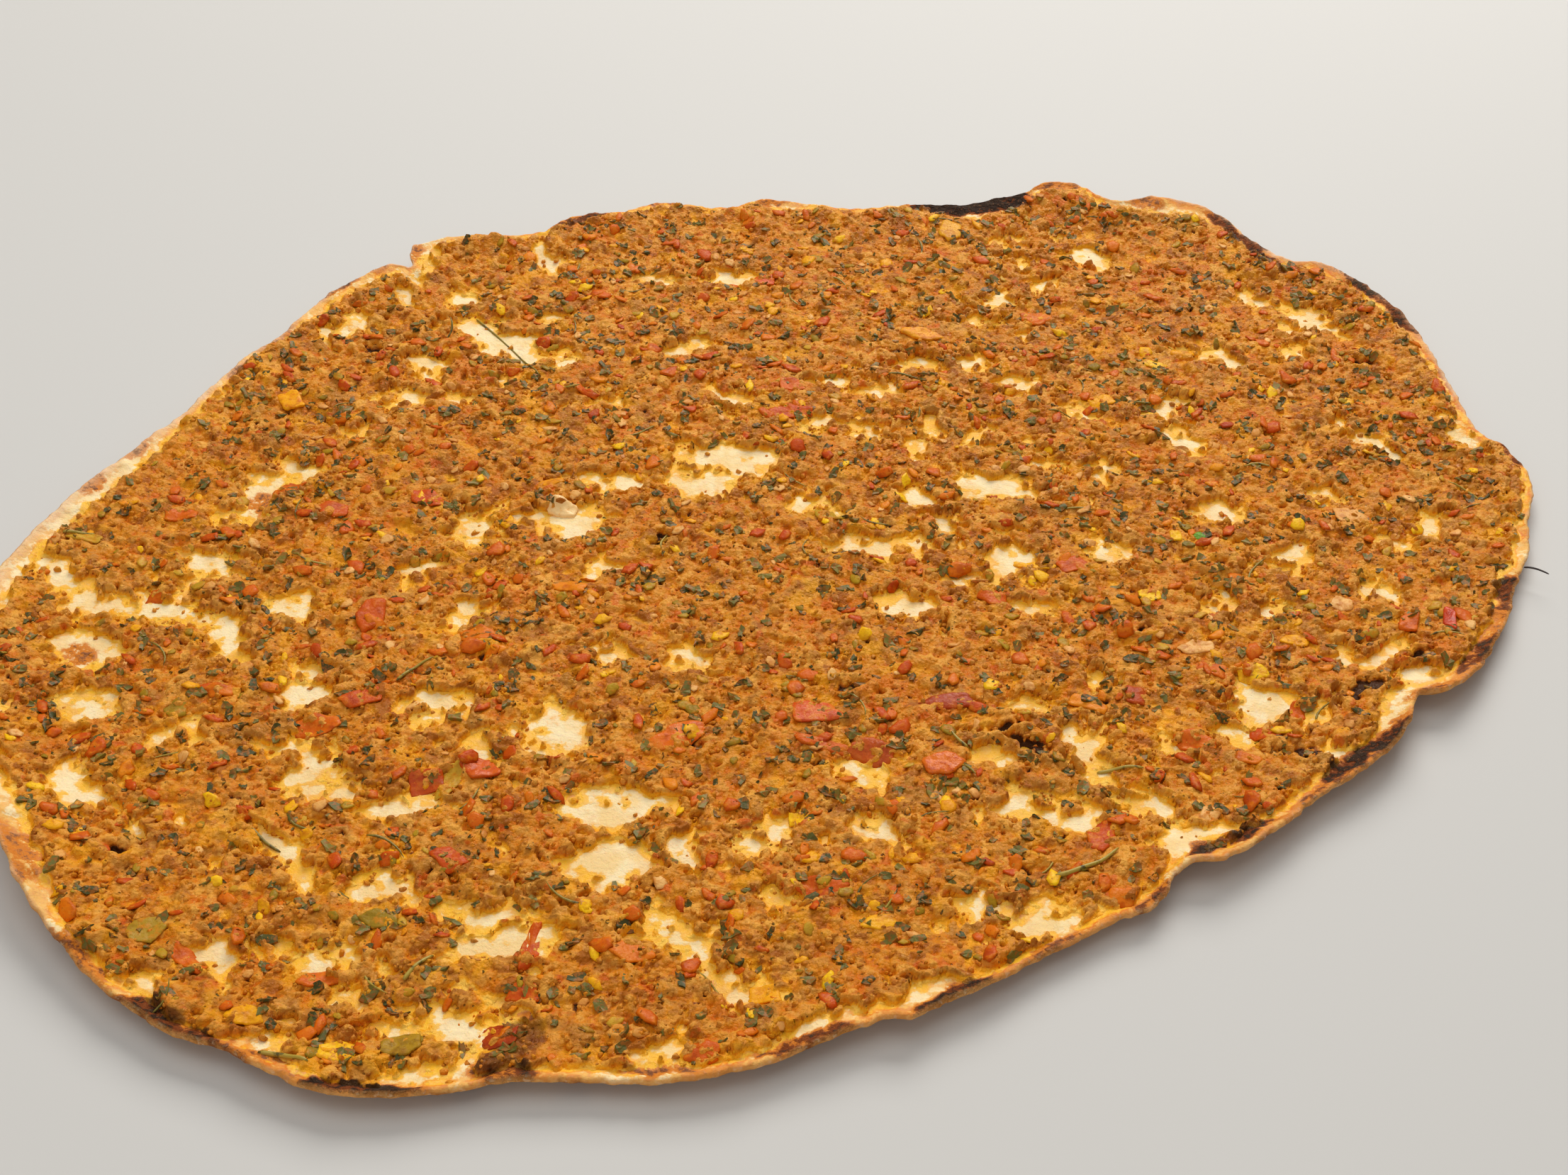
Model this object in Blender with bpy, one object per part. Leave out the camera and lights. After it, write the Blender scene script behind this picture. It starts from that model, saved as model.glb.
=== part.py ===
"""A lahmacun: a thin, crisp oval of flatbread under one spread of spiced minced meat.

The bread is one sheet. It lies flat in its middle, and its torn, scorched rim lifts off the table.
The spread is one thin layer with bare patches, where the bread shows through it.
The largest bits of pepper, tomato and onion sit in seats pressed into the spread.

Metres, +Z up. The origin is on the table, under the middle of the bread's outline.
"""

import math

import bpy
from mathutils import Vector, noise
from mathutils.geometry import delaunay_2d_cdt

MM = 0.001

# The sizes that the rest is worked out from.
BREAD_THICKNESS = 1.7 * MM  # in the flat middle
EDGE_THICKNESS = 1.1 * MM  # at the thin, baked-out edge
LIFTED_BAND = 17.0 * MM  # how far in from the edge the rim starts to lift
MINCE_THICKNESS = 2.2 * MM
CLUMP_HEIGHT = 0.5 * MM  # how far the spread rises and falls from one clump to the next
CLUMP_LENGTH = 19.0 * MM
GAP = 0.3 * MM  # between the bread and the spread
SEAT_GAP = 0.3 * MM  # between the spread and a bit of pepper
SEAT_DEPTH = 0.9 * MM
SEAT_MARGIN = 2.0 * MM
EDGE_STEP = 4.8 * MM  # spacing of the points along an edge
EDGE_RIPPLE = 0.5 * MM
EDGE_RIPPLE_LENGTH = 9.0 * MM
UNDERSIDE_RINGS = (4.0 * MM, 9.0 * MM, 13.0 * MM, LIFTED_BAND)  # rows of points inside the edge
MINCE_RINGS = (10.0 * MM, 14.5 * MM, 20.0 * MM)
UNDERSIDE_GRID = 30.0 * MM
MINCE_GRID = 15.0 * MM
CLEAR_OF_EDGE = 3.0 * MM  # no inner point lies nearer to an edge than this
PATCH_EDGE_POINTS = 8
PATCH_UNEVENNESS = (0.16, 0.08)  # how far a bare patch's edge strays from an oval, in three waves and in two
INNER_STEP = 1.7 * EDGE_STEP  # spacing of the points along a row inside an edge
CURVE_STEPS = 12  # points between two corners of the outline, before they are spaced out evenly
CREASE_ANGLE = 40  # edges sharper than this, in degrees, stay sharp in the shading

# A large bit, from its foot to its top: (share of its outline, share of its height).
BIT_LEVELS = ((0.84, 0.0), (1.0, 0.35), (0.96, 0.75), (0.7, 1.0))
BIT_CROWN = 1.08  # how high the middle of its top stands, as a share of its height
BIT_NOTCH = 0.13  # how far every second point of its outline is drawn in
BIT_SKEW = 0.07  # how far its outline strays from an oval

# The bread's outline, anticlockwise from its right-hand side, in millimetres.
OUTLINE_MM = (
    # right side, up to the crown
    (155, 0), (158, 13), (161.5, 24), (159, 37), (154, 43), (152, 60), (150, 76), (146, 92), (137, 106),
    (129, 114), (122, 115), (114, 126), (108, 137), (100, 142), (90, 144), (83, 140), (77, 142), (72, 148),
    (64, 150), (56, 144),
    # far side, along to the torn corner
    (46, 142), (38, 140), (28, 140), (14, 136), (0, 137), (-12, 138), (-21, 133), (-38, 134), (-46, 129),
    (-60, 125), (-67.5, 116), (-85, 113), (-97, 108), (-98.5, 104), (-96, 96), (-101, 98.5),
    # left side
    (-111, 90), (-118, 78), (-124, 63), (-129, 57), (-136, 39), (-144, 21), (-151, 8), (-156, -6),
    (-160.5, -22), (-161.5, -36), (-159, -56), (-152, -76), (-142, -95),
    # near side, with its small flap
    (-130, -114), (-116, -129), (-101, -140.5), (-88, -145), (-81, -149), (-70, -152.5), (-55, -151.5),
    (-43, -148.5), (-18, -147.5), (-5, -144.5), (8, -138), (19, -133), (21.5, -135.5), (24, -131.5),
    # near right side, with its two tears
    (34, -126), (43, -119), (57, -110), (65, -105.5), (67.5, -99.5), (72, -96.5), (76, -97), (84, -91),
    (96, -80), (108, -70), (117, -60), (120.5, -50), (127, -48.5), (136, -39.5), (144, -25), (150, -11),
)  # fmt: skip

# How high the edge stands off the table: (bearing in degrees, millimetres).
RIM_LIFT = (
    (0, 2.0), (12, 3.0), (25, 2.5), (38, 4.5), (50, 3.0), (57, 5.0), (66, 5.0), (75, 2.0), (95, 3.0),
    (115, 3.5), (133, 4.0), (146, 3.0), (165, 2.0), (185, 3.0), (200, 3.0), (216, 6.0), (230, 3.0),
    (246, 3.0), (260, 2.5), (280, 3.5), (300, 2.0), (308, 4.0), (322, 3.0), (338, 4.5), (350, 3.0),
)  # fmt: skip

# How much of the rim the spread leaves bare: (bearing in degrees, millimetres).
BARE_RIM = (
    (0, 4.0), (10, 1.2), (20, 3.0), (30, 4.0), (40, 4.0), (50, 4.0), (57, 8.0), (63, 2.0), (67, 6.0),
    (72, 10.0), (78, 3.0), (85, 2.0), (93, 5.0), (98, 1.2), (104, 3.0), (109, 1.2), (113, 5.0), (120, 2.0),
    (131, 5.0), (145, 6.0), (155, 2.0), (165, 4.0), (176, 7.0), (188, 6.0), (200, 4.0), (217, 7.0),
    (226, 4.0), (246, 4.0), (252, 5.0), (265, 5.0), (275, 6.0), (286, 4.0), (300, 5.0), (315, 5.0),
    (330, 6.0), (338, 7.0), (350, 4.0),
)  # fmt: skip

# The larger bare patches: (x, y, length, width in millimetres, turn in degrees).
BARE_PATCHES = (
    # far left
    (-75, 68, 19, 8, -22), (-88, 57, 10, 4, -60), (-90, 41, 7, 5, 90), (-95, 86, 11, 4, -65),
    (-64, 106, 9, 4, -50), (-23, 17, 14, 4, -45), (-15, 25, 12, 4, 65), (-108, 16, 10, 4, 30),
    (-116, 8, 9, 5, -60), (-45, -3, 8, 7, 0),
    # far right
    (72, 116, 10, 4.5, 70), (126, 92, 10, 4, 70), (98, 73, 8, 5, 60), (51, 57, 8, 4.5, -20),
    (83, 51, 9, 5, 5), (44, 17, 14, 4.5, -10), (67, 25, 10, 3.5, 75), (92, 9, 11, 4.5, 70),
    (49, 93, 8, 4, 10),
    # near left
    (-66, -5, 9, 5, -70), (-120, -33, 15, 6, -20), (-112, -43, 12, 5, -50), (-116, -21, 11, 4.5, 90),
    (-136, -46, 14, 7, -50), (-43, -66, 14, 4.5, 55), (-70, -86, 15, 5, 25), (-125, -86, 10, 4, -40),
    (-87, -97, 11, 3.5, -45), (-47, -118, 11, 3.5, 30), (-30, -99, 12, 5, 0), (-29, -87, 9, 5, -60),
    (-19, -115, 11, 4.5, -35), (-7, -128, 6.5, 4.5, 60), (-95, -123, 9, 5, 40), (-53, -137, 9, 6, 55),
    # near right
    (24, -23, 9, 7, 0), (45, -8, 7, 5, -20), (90, -52, 9, 7.5, 0), (56, -65, 13, 4.5, -75),
    (65, -80, 14, 6, -60), (48, -80, 10, 4.5, -10), (15, -90, 10, 3.5, 70), (46, -109, 9, 4.5, -50),
    (115, -35, 13, 3.5, -10),
)  # fmt: skip

# The bits as large as berries: name, x, y, length, width, height in millimetres, turn in degrees,
# corners, colour.
YELLOW = (0.80, 0.42, 0.03)
RED = (0.46, 0.07, 0.02)
OLIVE = (0.26, 0.22, 0.02)
PEACH = (0.62, 0.30, 0.12)
LARGE_BITS = (
    ("yellow_pepper_left", -114, 39, 12, 6, 1.6, -60, 5, YELLOW),
    ("yellow_pepper_far", 37, 125, 9, 6, 1.5, 80, 7, YELLOW),
    ("yellow_pepper_centre", 28, 76, 10, 5, 1.5, -15, 6, YELLOW),
    ("red_pepper_left", -84, -34, 10, 6, 1.5, 78, 6, RED),
    ("tomato_near_left", -57, -76, 9, 6, 1.8, -35, 7, RED),
    ("red_pepper_right", 124, -25, 8, 4.5, 1.5, 68, 5, RED),
    ("tomato_skin_right", 132, -25, 8, 3.5, 1.8, 80, 6, RED),
    ("tomato_near", 28, -71, 9, 6, 1.4, 10, 7, RED),
    ("green_pepper_near", -61, -141, 7, 6, 1.6, 20, 9, OLIVE),
    ("onion_centre", -50, 4, 8, 7, 1.8, 0, 8, PEACH),
)

BREAD_COLOUR = (0.80, 0.55, 0.26)
MINCE_COLOUR = (0.42, 0.17, 0.05)
FOOD_ROUGHNESS = 0.6
WET_ROUGHNESS = 0.3


# ---------------------------------------------------------------- scene and materials


def clear_scene():
    for obj in list(bpy.data.objects):
        bpy.data.objects.remove(obj)


def material(name, colour, roughness):
    made = bpy.data.materials.new(name)
    made.use_nodes = True
    shader = made.node_tree.nodes["Principled BSDF"]
    shader.inputs["Base Color"].default_value = (*colour, 1.0)
    shader.inputs["Roughness"].default_value = roughness
    shader.inputs["Metallic"].default_value = 0.0
    return made


def add_object(name, points, faces, finish):
    mesh = bpy.data.meshes.new(name)
    mesh.from_pydata(points, [], faces)
    mesh.materials.append(finish)
    mesh.shade_smooth()
    mesh.set_sharp_from_angle(angle=math.radians(CREASE_ANGLE))
    obj = bpy.data.objects.new(name, mesh)
    bpy.context.scene.collection.objects.link(obj)
    return obj


# ---------------------------------------------------------------- outlines in plan


def smooth_loop(corners, steps):
    """A closed Catmull-Rom curve through the corners."""
    count = len(corners)
    curve = []
    for i in range(count):
        before, start, end, after = (corners[(i + k) % count] for k in (-1, 0, 1, 2))
        for step in range(steps):
            t = step / steps
            curve.append(
                0.5 * (2 * start + (end - before) * t
                       + (2 * before - 5 * start + 4 * end - after) * t**2
                       + (3 * start - before - 3 * end + after) * t**3)
            )  # fmt: skip
    return curve


def evenly_spaced(loop, spacing):
    """Points along a closed loop, the same distance apart, starting at its first point."""
    closed = loop + loop[:1]
    lengths = [(b - a).length for a, b in zip(closed, closed[1:])]
    count = round(sum(lengths) / spacing)
    step = sum(lengths) / count
    points, travelled, target = [], 0.0, 0.0
    for a, b, length in zip(closed, closed[1:], lengths):
        while target < travelled + length and len(points) < count:
            points.append(a.lerp(b, (target - travelled) / length))
            target += step
        travelled += length
    return points


def centred(loop):
    """The loop moved so that the origin is the middle of its bounding box, and how far it moved."""
    middle = Vector((
        (max(p.x for p in loop) + min(p.x for p in loop)) / 2,
        (max(p.y for p in loop) + min(p.y for p in loop)) / 2,
    ))
    return [p - middle for p in loop], middle


def rippled(loop, amount, length):
    """The loop with the small irregular waves of a hand-stretched edge."""
    made = []
    for p in loop:
        wave = noise.noise(Vector((p.x / length, p.y / length, 0.0)))
        made.append(p * (1 + amount * wave / p.length))
    return made


def bearing_of(x, y):
    return math.degrees(math.atan2(y, x)) % 360


def by_bearing(table, bearing):
    """A value read from (bearing, value) pairs, eased from one pair to the next all the way round."""
    for i, (start, value) in enumerate(table):
        end, following = table[(i + 1) % len(table)]
        span = (end - start) % 360
        along = (bearing - start) % 360
        if along < span:
            t = along / span
            return value + (following - value) * t * t * (3 - 2 * t)
    return table[0][1]


class Outline:
    """The bread's edge, read as a radius for each bearing."""

    def __init__(self, loop):
        self.loop = loop
        self.table = sorted((bearing_of(p.x, p.y), p.length) for p in loop)

    def radius(self, bearing):
        """The edge's distance from the middle, straight between its points."""
        table = self.table
        low, high = 0, len(table)
        while low < high:
            middle = (low + high) // 2
            if table[middle][0] <= bearing:
                low = middle + 1
            else:
                high = middle
        before, after = table[low - 1], table[low % len(table)]
        span = (after[0] - before[0]) % 360
        along = (bearing - before[0]) % 360
        return before[1] + (after[1] - before[1]) * along / span

    def inside_by(self, x, y):
        """How far a point lies in from the edge, towards the middle."""
        return self.radius(bearing_of(x, y)) - math.hypot(x, y)

    def inset(self, distance):
        """The edge moved in: by one distance, or by a function of the bearing."""
        made = []
        for p in self.loop:
            by = distance(bearing_of(p.x, p.y)) if callable(distance) else distance
            made.append(p * (1 - by / p.length))
        return made


def patch_loop(x, y, length, width, turn, shift):
    """An irregular oval in plan: an outline of one bare patch."""
    centre = Vector((x, y)) * MM - shift
    cos, sin = math.cos(math.radians(turn)), math.sin(math.radians(turn))
    loop = []
    for i in range(PATCH_EDGE_POINTS):
        a = math.tau * i / PATCH_EDGE_POINTS
        uneven = 1 + PATCH_UNEVENNESS[0] * math.sin(3 * a + x) + PATCH_UNEVENNESS[1] * math.cos(2 * a + y)
        along = length * MM / 2 * math.cos(a) * uneven
        across = width * MM / 2 * math.sin(a) * uneven
        loop.append(centre + Vector((along * cos - across * sin, along * sin + across * cos)))
    return loop


# ---------------------------------------------------------------- heights


def eased(t):
    t = min(max(t, 0.0), 1.0)
    return t * t * (3 - 2 * t)


class Heights:
    """The bread's and the spread's upper and lower surfaces, as heights above the table."""

    def __init__(self, outline, seats):
        self.outline = outline
        self.seats = seats

    def bread_bottom(self, x, y):
        nearness = eased(1 - self.outline.inside_by(x, y) / LIFTED_BAND)
        return by_bearing(RIM_LIFT, bearing_of(x, y)) * MM * nearness

    def bread_top(self, x, y):
        thinning = eased(1 - self.outline.inside_by(x, y) / (LIFTED_BAND / 2))
        thickness = BREAD_THICKNESS + (EDGE_THICKNESS - BREAD_THICKNESS) * thinning
        return self.bread_bottom(x, y) + thickness

    def mince_bottom(self, x, y):
        return self.bread_top(x, y) + GAP

    def open_mince_top(self, x, y):
        place = Vector((x / CLUMP_LENGTH, y / CLUMP_LENGTH, 0.0))
        return self.mince_bottom(x, y) + MINCE_THICKNESS + CLUMP_HEIGHT * noise.noise(place)

    def mince_top(self, x, y):
        """The spread's top, level inside each seat and easing up round it."""
        height = self.open_mince_top(x, y)
        for centre, reach in self.seats:
            away = (Vector((x, y)) - centre).length
            if away < reach + 2 * SEAT_MARGIN:
                floor = self.open_mince_top(*centre) - SEAT_DEPTH
                height += (floor - height) * eased((reach + 2 * SEAT_MARGIN - away) / SEAT_MARGIN)
        return height


# ---------------------------------------------------------------- layers


def inner_points(loops, spacing, extra):
    """A staggered grid of points, and the extra ones, that keep clear of every loop."""
    edge = [p for loop in loops for p in loop]
    left, right = min(p.x for p in loops[0]), max(p.x for p in loops[0])
    near, far = min(p.y for p in loops[0]), max(p.y for p in loops[0])
    row_height = spacing * math.sin(math.radians(60))
    grid = []
    for row in range(int((far - near) / row_height) + 1):
        offset = spacing / 2 * (row % 2)
        for column in range(int((right - left) / spacing) + 1):
            grid.append(Vector((left + offset + column * spacing, near + row * row_height)))
    kept = []
    for p in list(extra) + grid:
        if all((p - q).length > CLEAR_OF_EDGE for q in edge + kept):
            kept.append(p)
    return kept


def encloses(loop, p):
    """Whether a point in plan lies inside a closed loop."""
    inside = False
    for a, b in zip(loop, loop[1:] + loop[:1]):
        if (a.y > p.y) != (b.y > p.y) and p.x < a.x + (b.x - a.x) * (p.y - a.y) / (b.y - a.y):
            inside = not inside
    return inside


def triangulated(loops, points):
    """The plan inside loops[0], its triangles keeping to every loop, as (points, triangles)."""
    plan, edges = [], []
    for loop in loops:
        first = len(plan)
        plan += loop
        edges += [(first + i, first + (i + 1) % len(loop)) for i in range(len(loop))]
    keep_inside = 1
    plan, _, triangles, *_ = delaunay_2d_cdt(plan + points, edges, [], keep_inside, 1e-7)
    return plan, [tuple(t) for t in triangles]


def without(loops, plan, triangles):
    """The same plan with the insides of some of its loops left open."""
    kept = []
    for t in triangles:
        middle = (plan[t[0]] + plan[t[1]] + plan[t[2]]) / 3
        if not any(encloses(loop, middle) for loop in loops):
            kept.append(t)
    return plan, kept


def sheet(name, upper, lower, top, bottom, finish):
    """A closed sheet between two plans with the same edge points, given their heights and walled."""
    upper_plan, upper_triangles = upper
    lower_plan, lower_triangles = lower
    count = len(upper_plan)
    sides = {(t[i], t[(i + 1) % 3]) for t in upper_triangles for i in range(3)}
    walls = [(a, a + count, b + count, b) for a, b in sides if (b, a) not in sides]
    under = [tuple(i + count for i in reversed(t)) for t in lower_triangles]
    points = [(p.x, p.y, top(p.x, p.y)) for p in upper_plan]
    points += [(p.x, p.y, bottom(p.x, p.y)) for p in lower_plan]
    add_object(name, points, upper_triangles + under + sorted(walls), finish)


def mince_plan(outline, heights, shift):
    """The spread's edge and its bare patches, and the points of its surface between them."""
    edge = evenly_spaced(outline.inset(lambda bearing: by_bearing(BARE_RIM, bearing) * MM), EDGE_STEP)
    edge = rippled(edge, EDGE_RIPPLE, EDGE_RIPPLE_LENGTH)
    loops = [edge] + [patch_loop(*patch, shift) for patch in BARE_PATCHES]
    extra = []
    for centre, reach in heights.seats:
        for ring, count in ((0.0, 1), (reach + SEAT_MARGIN / 2, 8), (reach + 2 * SEAT_MARGIN, 9)):
            turns = [math.tau * i / count for i in range(count)]
            extra += [centre + Vector((math.cos(a), math.sin(a))) * ring for a in turns]
    for distance in MINCE_RINGS:
        extra += evenly_spaced(outline.inset(distance), INNER_STEP)
    return loops, inner_points(loops, MINCE_GRID, extra)


def make_layers(outline, heights, shift):
    """The bread and the spread. They share the plan's triangles, so the gap between them is even."""
    loops, points = mince_plan(outline, heights, shift)
    rings = [evenly_spaced(outline.inset(d), INNER_STEP) for d in UNDERSIDE_RINGS]
    below = inner_points([outline.loop], UNDERSIDE_GRID, [p for ring in rings for p in ring])
    upper = triangulated([outline.loop] + loops, points)
    lower = triangulated([outline.loop], below)
    finish = material("bread", BREAD_COLOUR, FOOD_ROUGHNESS)
    sheet("flatbread", upper, lower, heights.bread_top, heights.bread_bottom, finish)
    spread = without(loops[1:], *triangulated(loops, points))
    finish = material("mince", MINCE_COLOUR, FOOD_ROUGHNESS)
    sheet("mince_spread", spread, spread, heights.mince_top, heights.mince_bottom, finish)


# ---------------------------------------------------------------- the large bits


def make_bit(name, centre, floor, length, width, height, turn, corners, finish):
    """A chopped bit: an uneven outline with a wide waist, a narrower foot and a low domed top."""
    sides = 2 * corners
    points = []
    for share, level in BIT_LEVELS:
        for i in range(sides):
            a = math.tau * i / sides
            uneven = share * (1 - BIT_NOTCH * (i % 2) + BIT_SKEW * math.sin(2 * a + corners))
            along = uneven * length / 2 * math.cos(a)
            across = uneven * width / 2 * math.sin(a)
            points.append((along, across, level * height))
    faces = []
    for row in range(len(BIT_LEVELS) - 1):
        for i in range(sides):
            j = (i + 1) % sides
            faces.append((row * sides + i, row * sides + j, (row + 1) * sides + j, (row + 1) * sides + i))
    faces.append(tuple(reversed(range(sides))))
    crown = len(points)
    points.append((0.0, 0.0, BIT_CROWN * height))
    last = (len(BIT_LEVELS) - 1) * sides
    faces += [(last + i, last + (i + 1) % sides, crown) for i in range(sides)]
    obj = add_object(name, points, faces, finish)
    obj.location = (centre.x, centre.y, floor)
    obj.rotation_euler = (0.0, 0.0, math.radians(turn))


def make_bits(heights, shift):
    finishes = {}
    for name, x, y, length, width, height, turn, corners, colour in LARGE_BITS:
        if colour not in finishes:
            finishes[colour] = material(name.rsplit("_", 1)[0], colour, WET_ROUGHNESS)
        centre = Vector((x, y)) * MM - shift
        floor = heights.mince_top(*centre) + SEAT_GAP
        make_bit(name, centre, floor, length * MM, width * MM, height * MM, turn, corners, finishes[colour])


def main():
    clear_scene()
    corners = [Vector(p) * MM for p in OUTLINE_MM]
    edge = evenly_spaced(smooth_loop(corners, CURVE_STEPS), EDGE_STEP)
    edge, shift = centred(rippled(edge, EDGE_RIPPLE, EDGE_RIPPLE_LENGTH))
    outline = Outline(edge)
    seats = [(Vector(bit[1:3]) * MM - shift, bit[3] * MM / 2) for bit in LARGE_BITS]
    heights = Heights(outline, seats)
    make_layers(outline, heights, shift)
    make_bits(heights, shift)


main()
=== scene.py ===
"""The looks of a lahmacun, over its solid model: a scorched flatbread under a thin spread of minced meat.

Lengths in this file are in millimetres until a mesh is made, and the frame is in metres.
"""

import math

import bmesh
import bpy
import numpy as np
from mathutils import Matrix, Vector
from mathutils.bvhtree import BVHTree
from mathutils.geometry import delaunay_2d_cdt


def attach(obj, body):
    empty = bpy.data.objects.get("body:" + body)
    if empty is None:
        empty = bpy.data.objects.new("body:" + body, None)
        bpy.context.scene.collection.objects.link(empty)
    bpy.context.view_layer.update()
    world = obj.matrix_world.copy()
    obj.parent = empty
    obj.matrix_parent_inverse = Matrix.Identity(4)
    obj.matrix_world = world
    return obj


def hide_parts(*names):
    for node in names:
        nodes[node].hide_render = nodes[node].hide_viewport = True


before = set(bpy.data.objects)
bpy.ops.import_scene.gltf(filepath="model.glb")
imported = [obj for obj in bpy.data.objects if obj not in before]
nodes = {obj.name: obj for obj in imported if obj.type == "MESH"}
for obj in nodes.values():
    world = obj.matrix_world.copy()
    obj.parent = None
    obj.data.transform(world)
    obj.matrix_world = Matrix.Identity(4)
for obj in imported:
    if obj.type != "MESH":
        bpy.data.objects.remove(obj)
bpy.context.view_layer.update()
MM = 0.001

# ---------------------------------------------------------------- the table, the light and the camera
# The lahmacun lies on a plain pale table. A big soft window stands behind it, and the room fills in from
# above and from the front. The camera looks down at it from the near side.

CAMERA_PLACE = (-0.0023, -0.3634, 0.2824)  # metres
CAMERA_TILT_DOWN = 39.08
CAMERA_ROLL = 1.99
LENS_MM = 50.0
TABLE_REACH = 3.0  # metres

scene = bpy.context.scene
scene.view_settings.view_transform = "Standard"
camera_data = bpy.data.cameras.new("camera")
camera_data.lens = LENS_MM
camera_data.clip_start = 0.01
camera = bpy.data.objects.new("camera", camera_data)
scene.collection.objects.link(camera)
tilted_down = Matrix.Rotation(math.radians(90 - CAMERA_TILT_DOWN), 4, "X")
camera.matrix_world = (
    Matrix.Translation(CAMERA_PLACE) @ tilted_down @ Matrix.Rotation(math.radians(CAMERA_ROLL), 4, "Z")
)
scene.camera = camera

WINDOWS = (
    # name, place, what it is aimed at, width and height in metres, watts, colour
    ("window", (0.24, 1.15, 0.98), (0.0, 0.0, 0.0), 1.0, 0.85, 20.4, (1.0, 0.97, 0.92)),
    ("ceiling", (-0.2, -0.1, 1.1), (0.0, 0.0, 0.0), 1.0, 1.0, 3.6, (1.0, 0.98, 0.95)),
    ("front_fill", (-0.3, -0.9, 0.5), (0.0, 0.0, 0.0), 0.9, 0.6, 1.4, (1.0, 0.98, 0.96)),
)
for name, place, target, width, height, watts, colour in WINDOWS:
    lamp_data = bpy.data.lights.new(name, "AREA")
    lamp_data.shape = "RECTANGLE"
    lamp_data.size = width
    lamp_data.size_y = height
    lamp_data.energy = watts
    lamp_data.color = colour
    lamp = bpy.data.objects.new(name, lamp_data)
    lamp.location = place
    lamp.rotation_euler = (Vector(target) - Vector(place)).to_track_quat("-Z", "Y").to_euler()
    scene.collection.objects.link(lamp)

world = bpy.data.worlds.new("room")
world.use_nodes = True
room_light = world.node_tree.nodes["Background"].inputs
room_light["Color"].default_value = (1.0, 0.98, 0.95, 1.0)
room_light["Strength"].default_value = 0.26
scene.world = world

table_mesh = bpy.data.meshes.new("table")
corners = [(-TABLE_REACH, -TABLE_REACH, 0), (TABLE_REACH, -TABLE_REACH, 0), (TABLE_REACH, TABLE_REACH, 0)]
table_mesh.from_pydata([*corners, (-TABLE_REACH, TABLE_REACH, 0)], [], [(0, 1, 2, 3)])
table = bpy.data.objects.new("table", table_mesh)
scene.collection.objects.link(table)
table_finish = bpy.data.materials.new("pale_table")
table_finish.use_nodes = True
table_shader = table_finish.node_tree.nodes["Principled BSDF"].inputs
table_shader["Base Color"].default_value = (0.62, 0.61, 0.59, 1)
table_shader["Roughness"].default_value = 0.7
table_mesh.materials.append(table_finish)

# ---------------------------------------------------------------- the flatbread
# One sheet of yeast dough rolled thin by hand and baked on a hot stone, so its rim is torn, blistered and
# scorched, and lifts off the table. Fat from the meat has soaked into it along the spread's edges.

BEARINGS = 1600  # points round the edge
RIM_FROM = 80.0  # the rim never comes nearer the middle than this
EDGE_SETBACK = 0.7  # the lip's rounding and raggedness stay inside the solid's outline
RAGGED = 0.35  # how far the torn edge strays
# How far in from the edge each ring of points lies, above and below.
RIM_INSETS = (0.35, 0.8, 1.3, 1.9, 2.5, 3.2, 4.0, 4.8, 5.7, 6.6, 7.6, 8.7, 9.8, 11.0, 12.3, 13.7, 15.2, 17.0)
UNDER_INSETS = (0.35, 1.0, 2.0, 3.2, 5.0, 7.5, 11.0, 16.0)
TOP_SPACING, UNDER_SPACING = 1.15, 6.0  # between the points inside the last ring
LOOSE_REACH = 16.0  # how far in from the edge the dough waves and blisters
WAVE, LOWEST_WAVE, BLISTER = 0.35, -0.2, 0.9  # heights
TABLE_GAP = 0.02  # between the table and the dough's lowest points
FIELD_PITCH = 0.4  # the grid that the plan's fields are worked out on
SURVEY_PITCH = 2.5  # the coarser grid that the solid's heights are read on
SURVEY_SHARE = 0.985  # past this share of the radius, the height is read further in
RAY_START = 0.1  # metres over or under the table
FIELD_REACH = 168.0  # the grids run from minus this to plus this


def silhouette(node, bearings):
    """The outline of a node seen from above: its distance from the origin at each bearing, in mm."""
    mesh = node.data
    corners = np.empty(len(mesh.vertices) * 3)
    mesh.vertices.foreach_get("co", corners)
    corners = corners.reshape(-1, 3)[:, :2] / MM
    ends = np.empty(len(mesh.edges) * 2, int)
    mesh.edges.foreach_get("vertices", ends)
    a, b = corners[ends.reshape(-1, 2)].transpose(1, 0, 2)
    far = np.maximum(np.hypot(*a.T), np.hypot(*b.T)) > RIM_FROM
    a, b = a[far], b[far]
    found = np.zeros(len(bearings))
    for k, bearing in enumerate(bearings):
        along = np.array((math.cos(bearing), math.sin(bearing)))
        side_a, side_b = a @ (-along[1], along[0]), b @ (-along[1], along[0])
        crossing = (side_a >= 0) != (side_b >= 0)
        t = side_a[crossing] / (side_a[crossing] - side_b[crossing])
        found[k] = (a[crossing] @ along * (1 - t) + b[crossing] @ along * t).max()
    return found


bearings = np.arange(BEARINGS) * math.tau / BEARINGS
bread_radius = silhouette(nodes["flatbread"], bearings)
spread_radius = silhouette(nodes["mince_spread"], bearings)


def at_bearing(values, x, y):
    """A value kept for each bearing, read at points in plan."""
    place = np.arctan2(y, x) % math.tau / math.tau * BEARINGS
    return np.interp(place, np.arange(BEARINGS + 1), np.append(values, values[0]))


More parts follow.
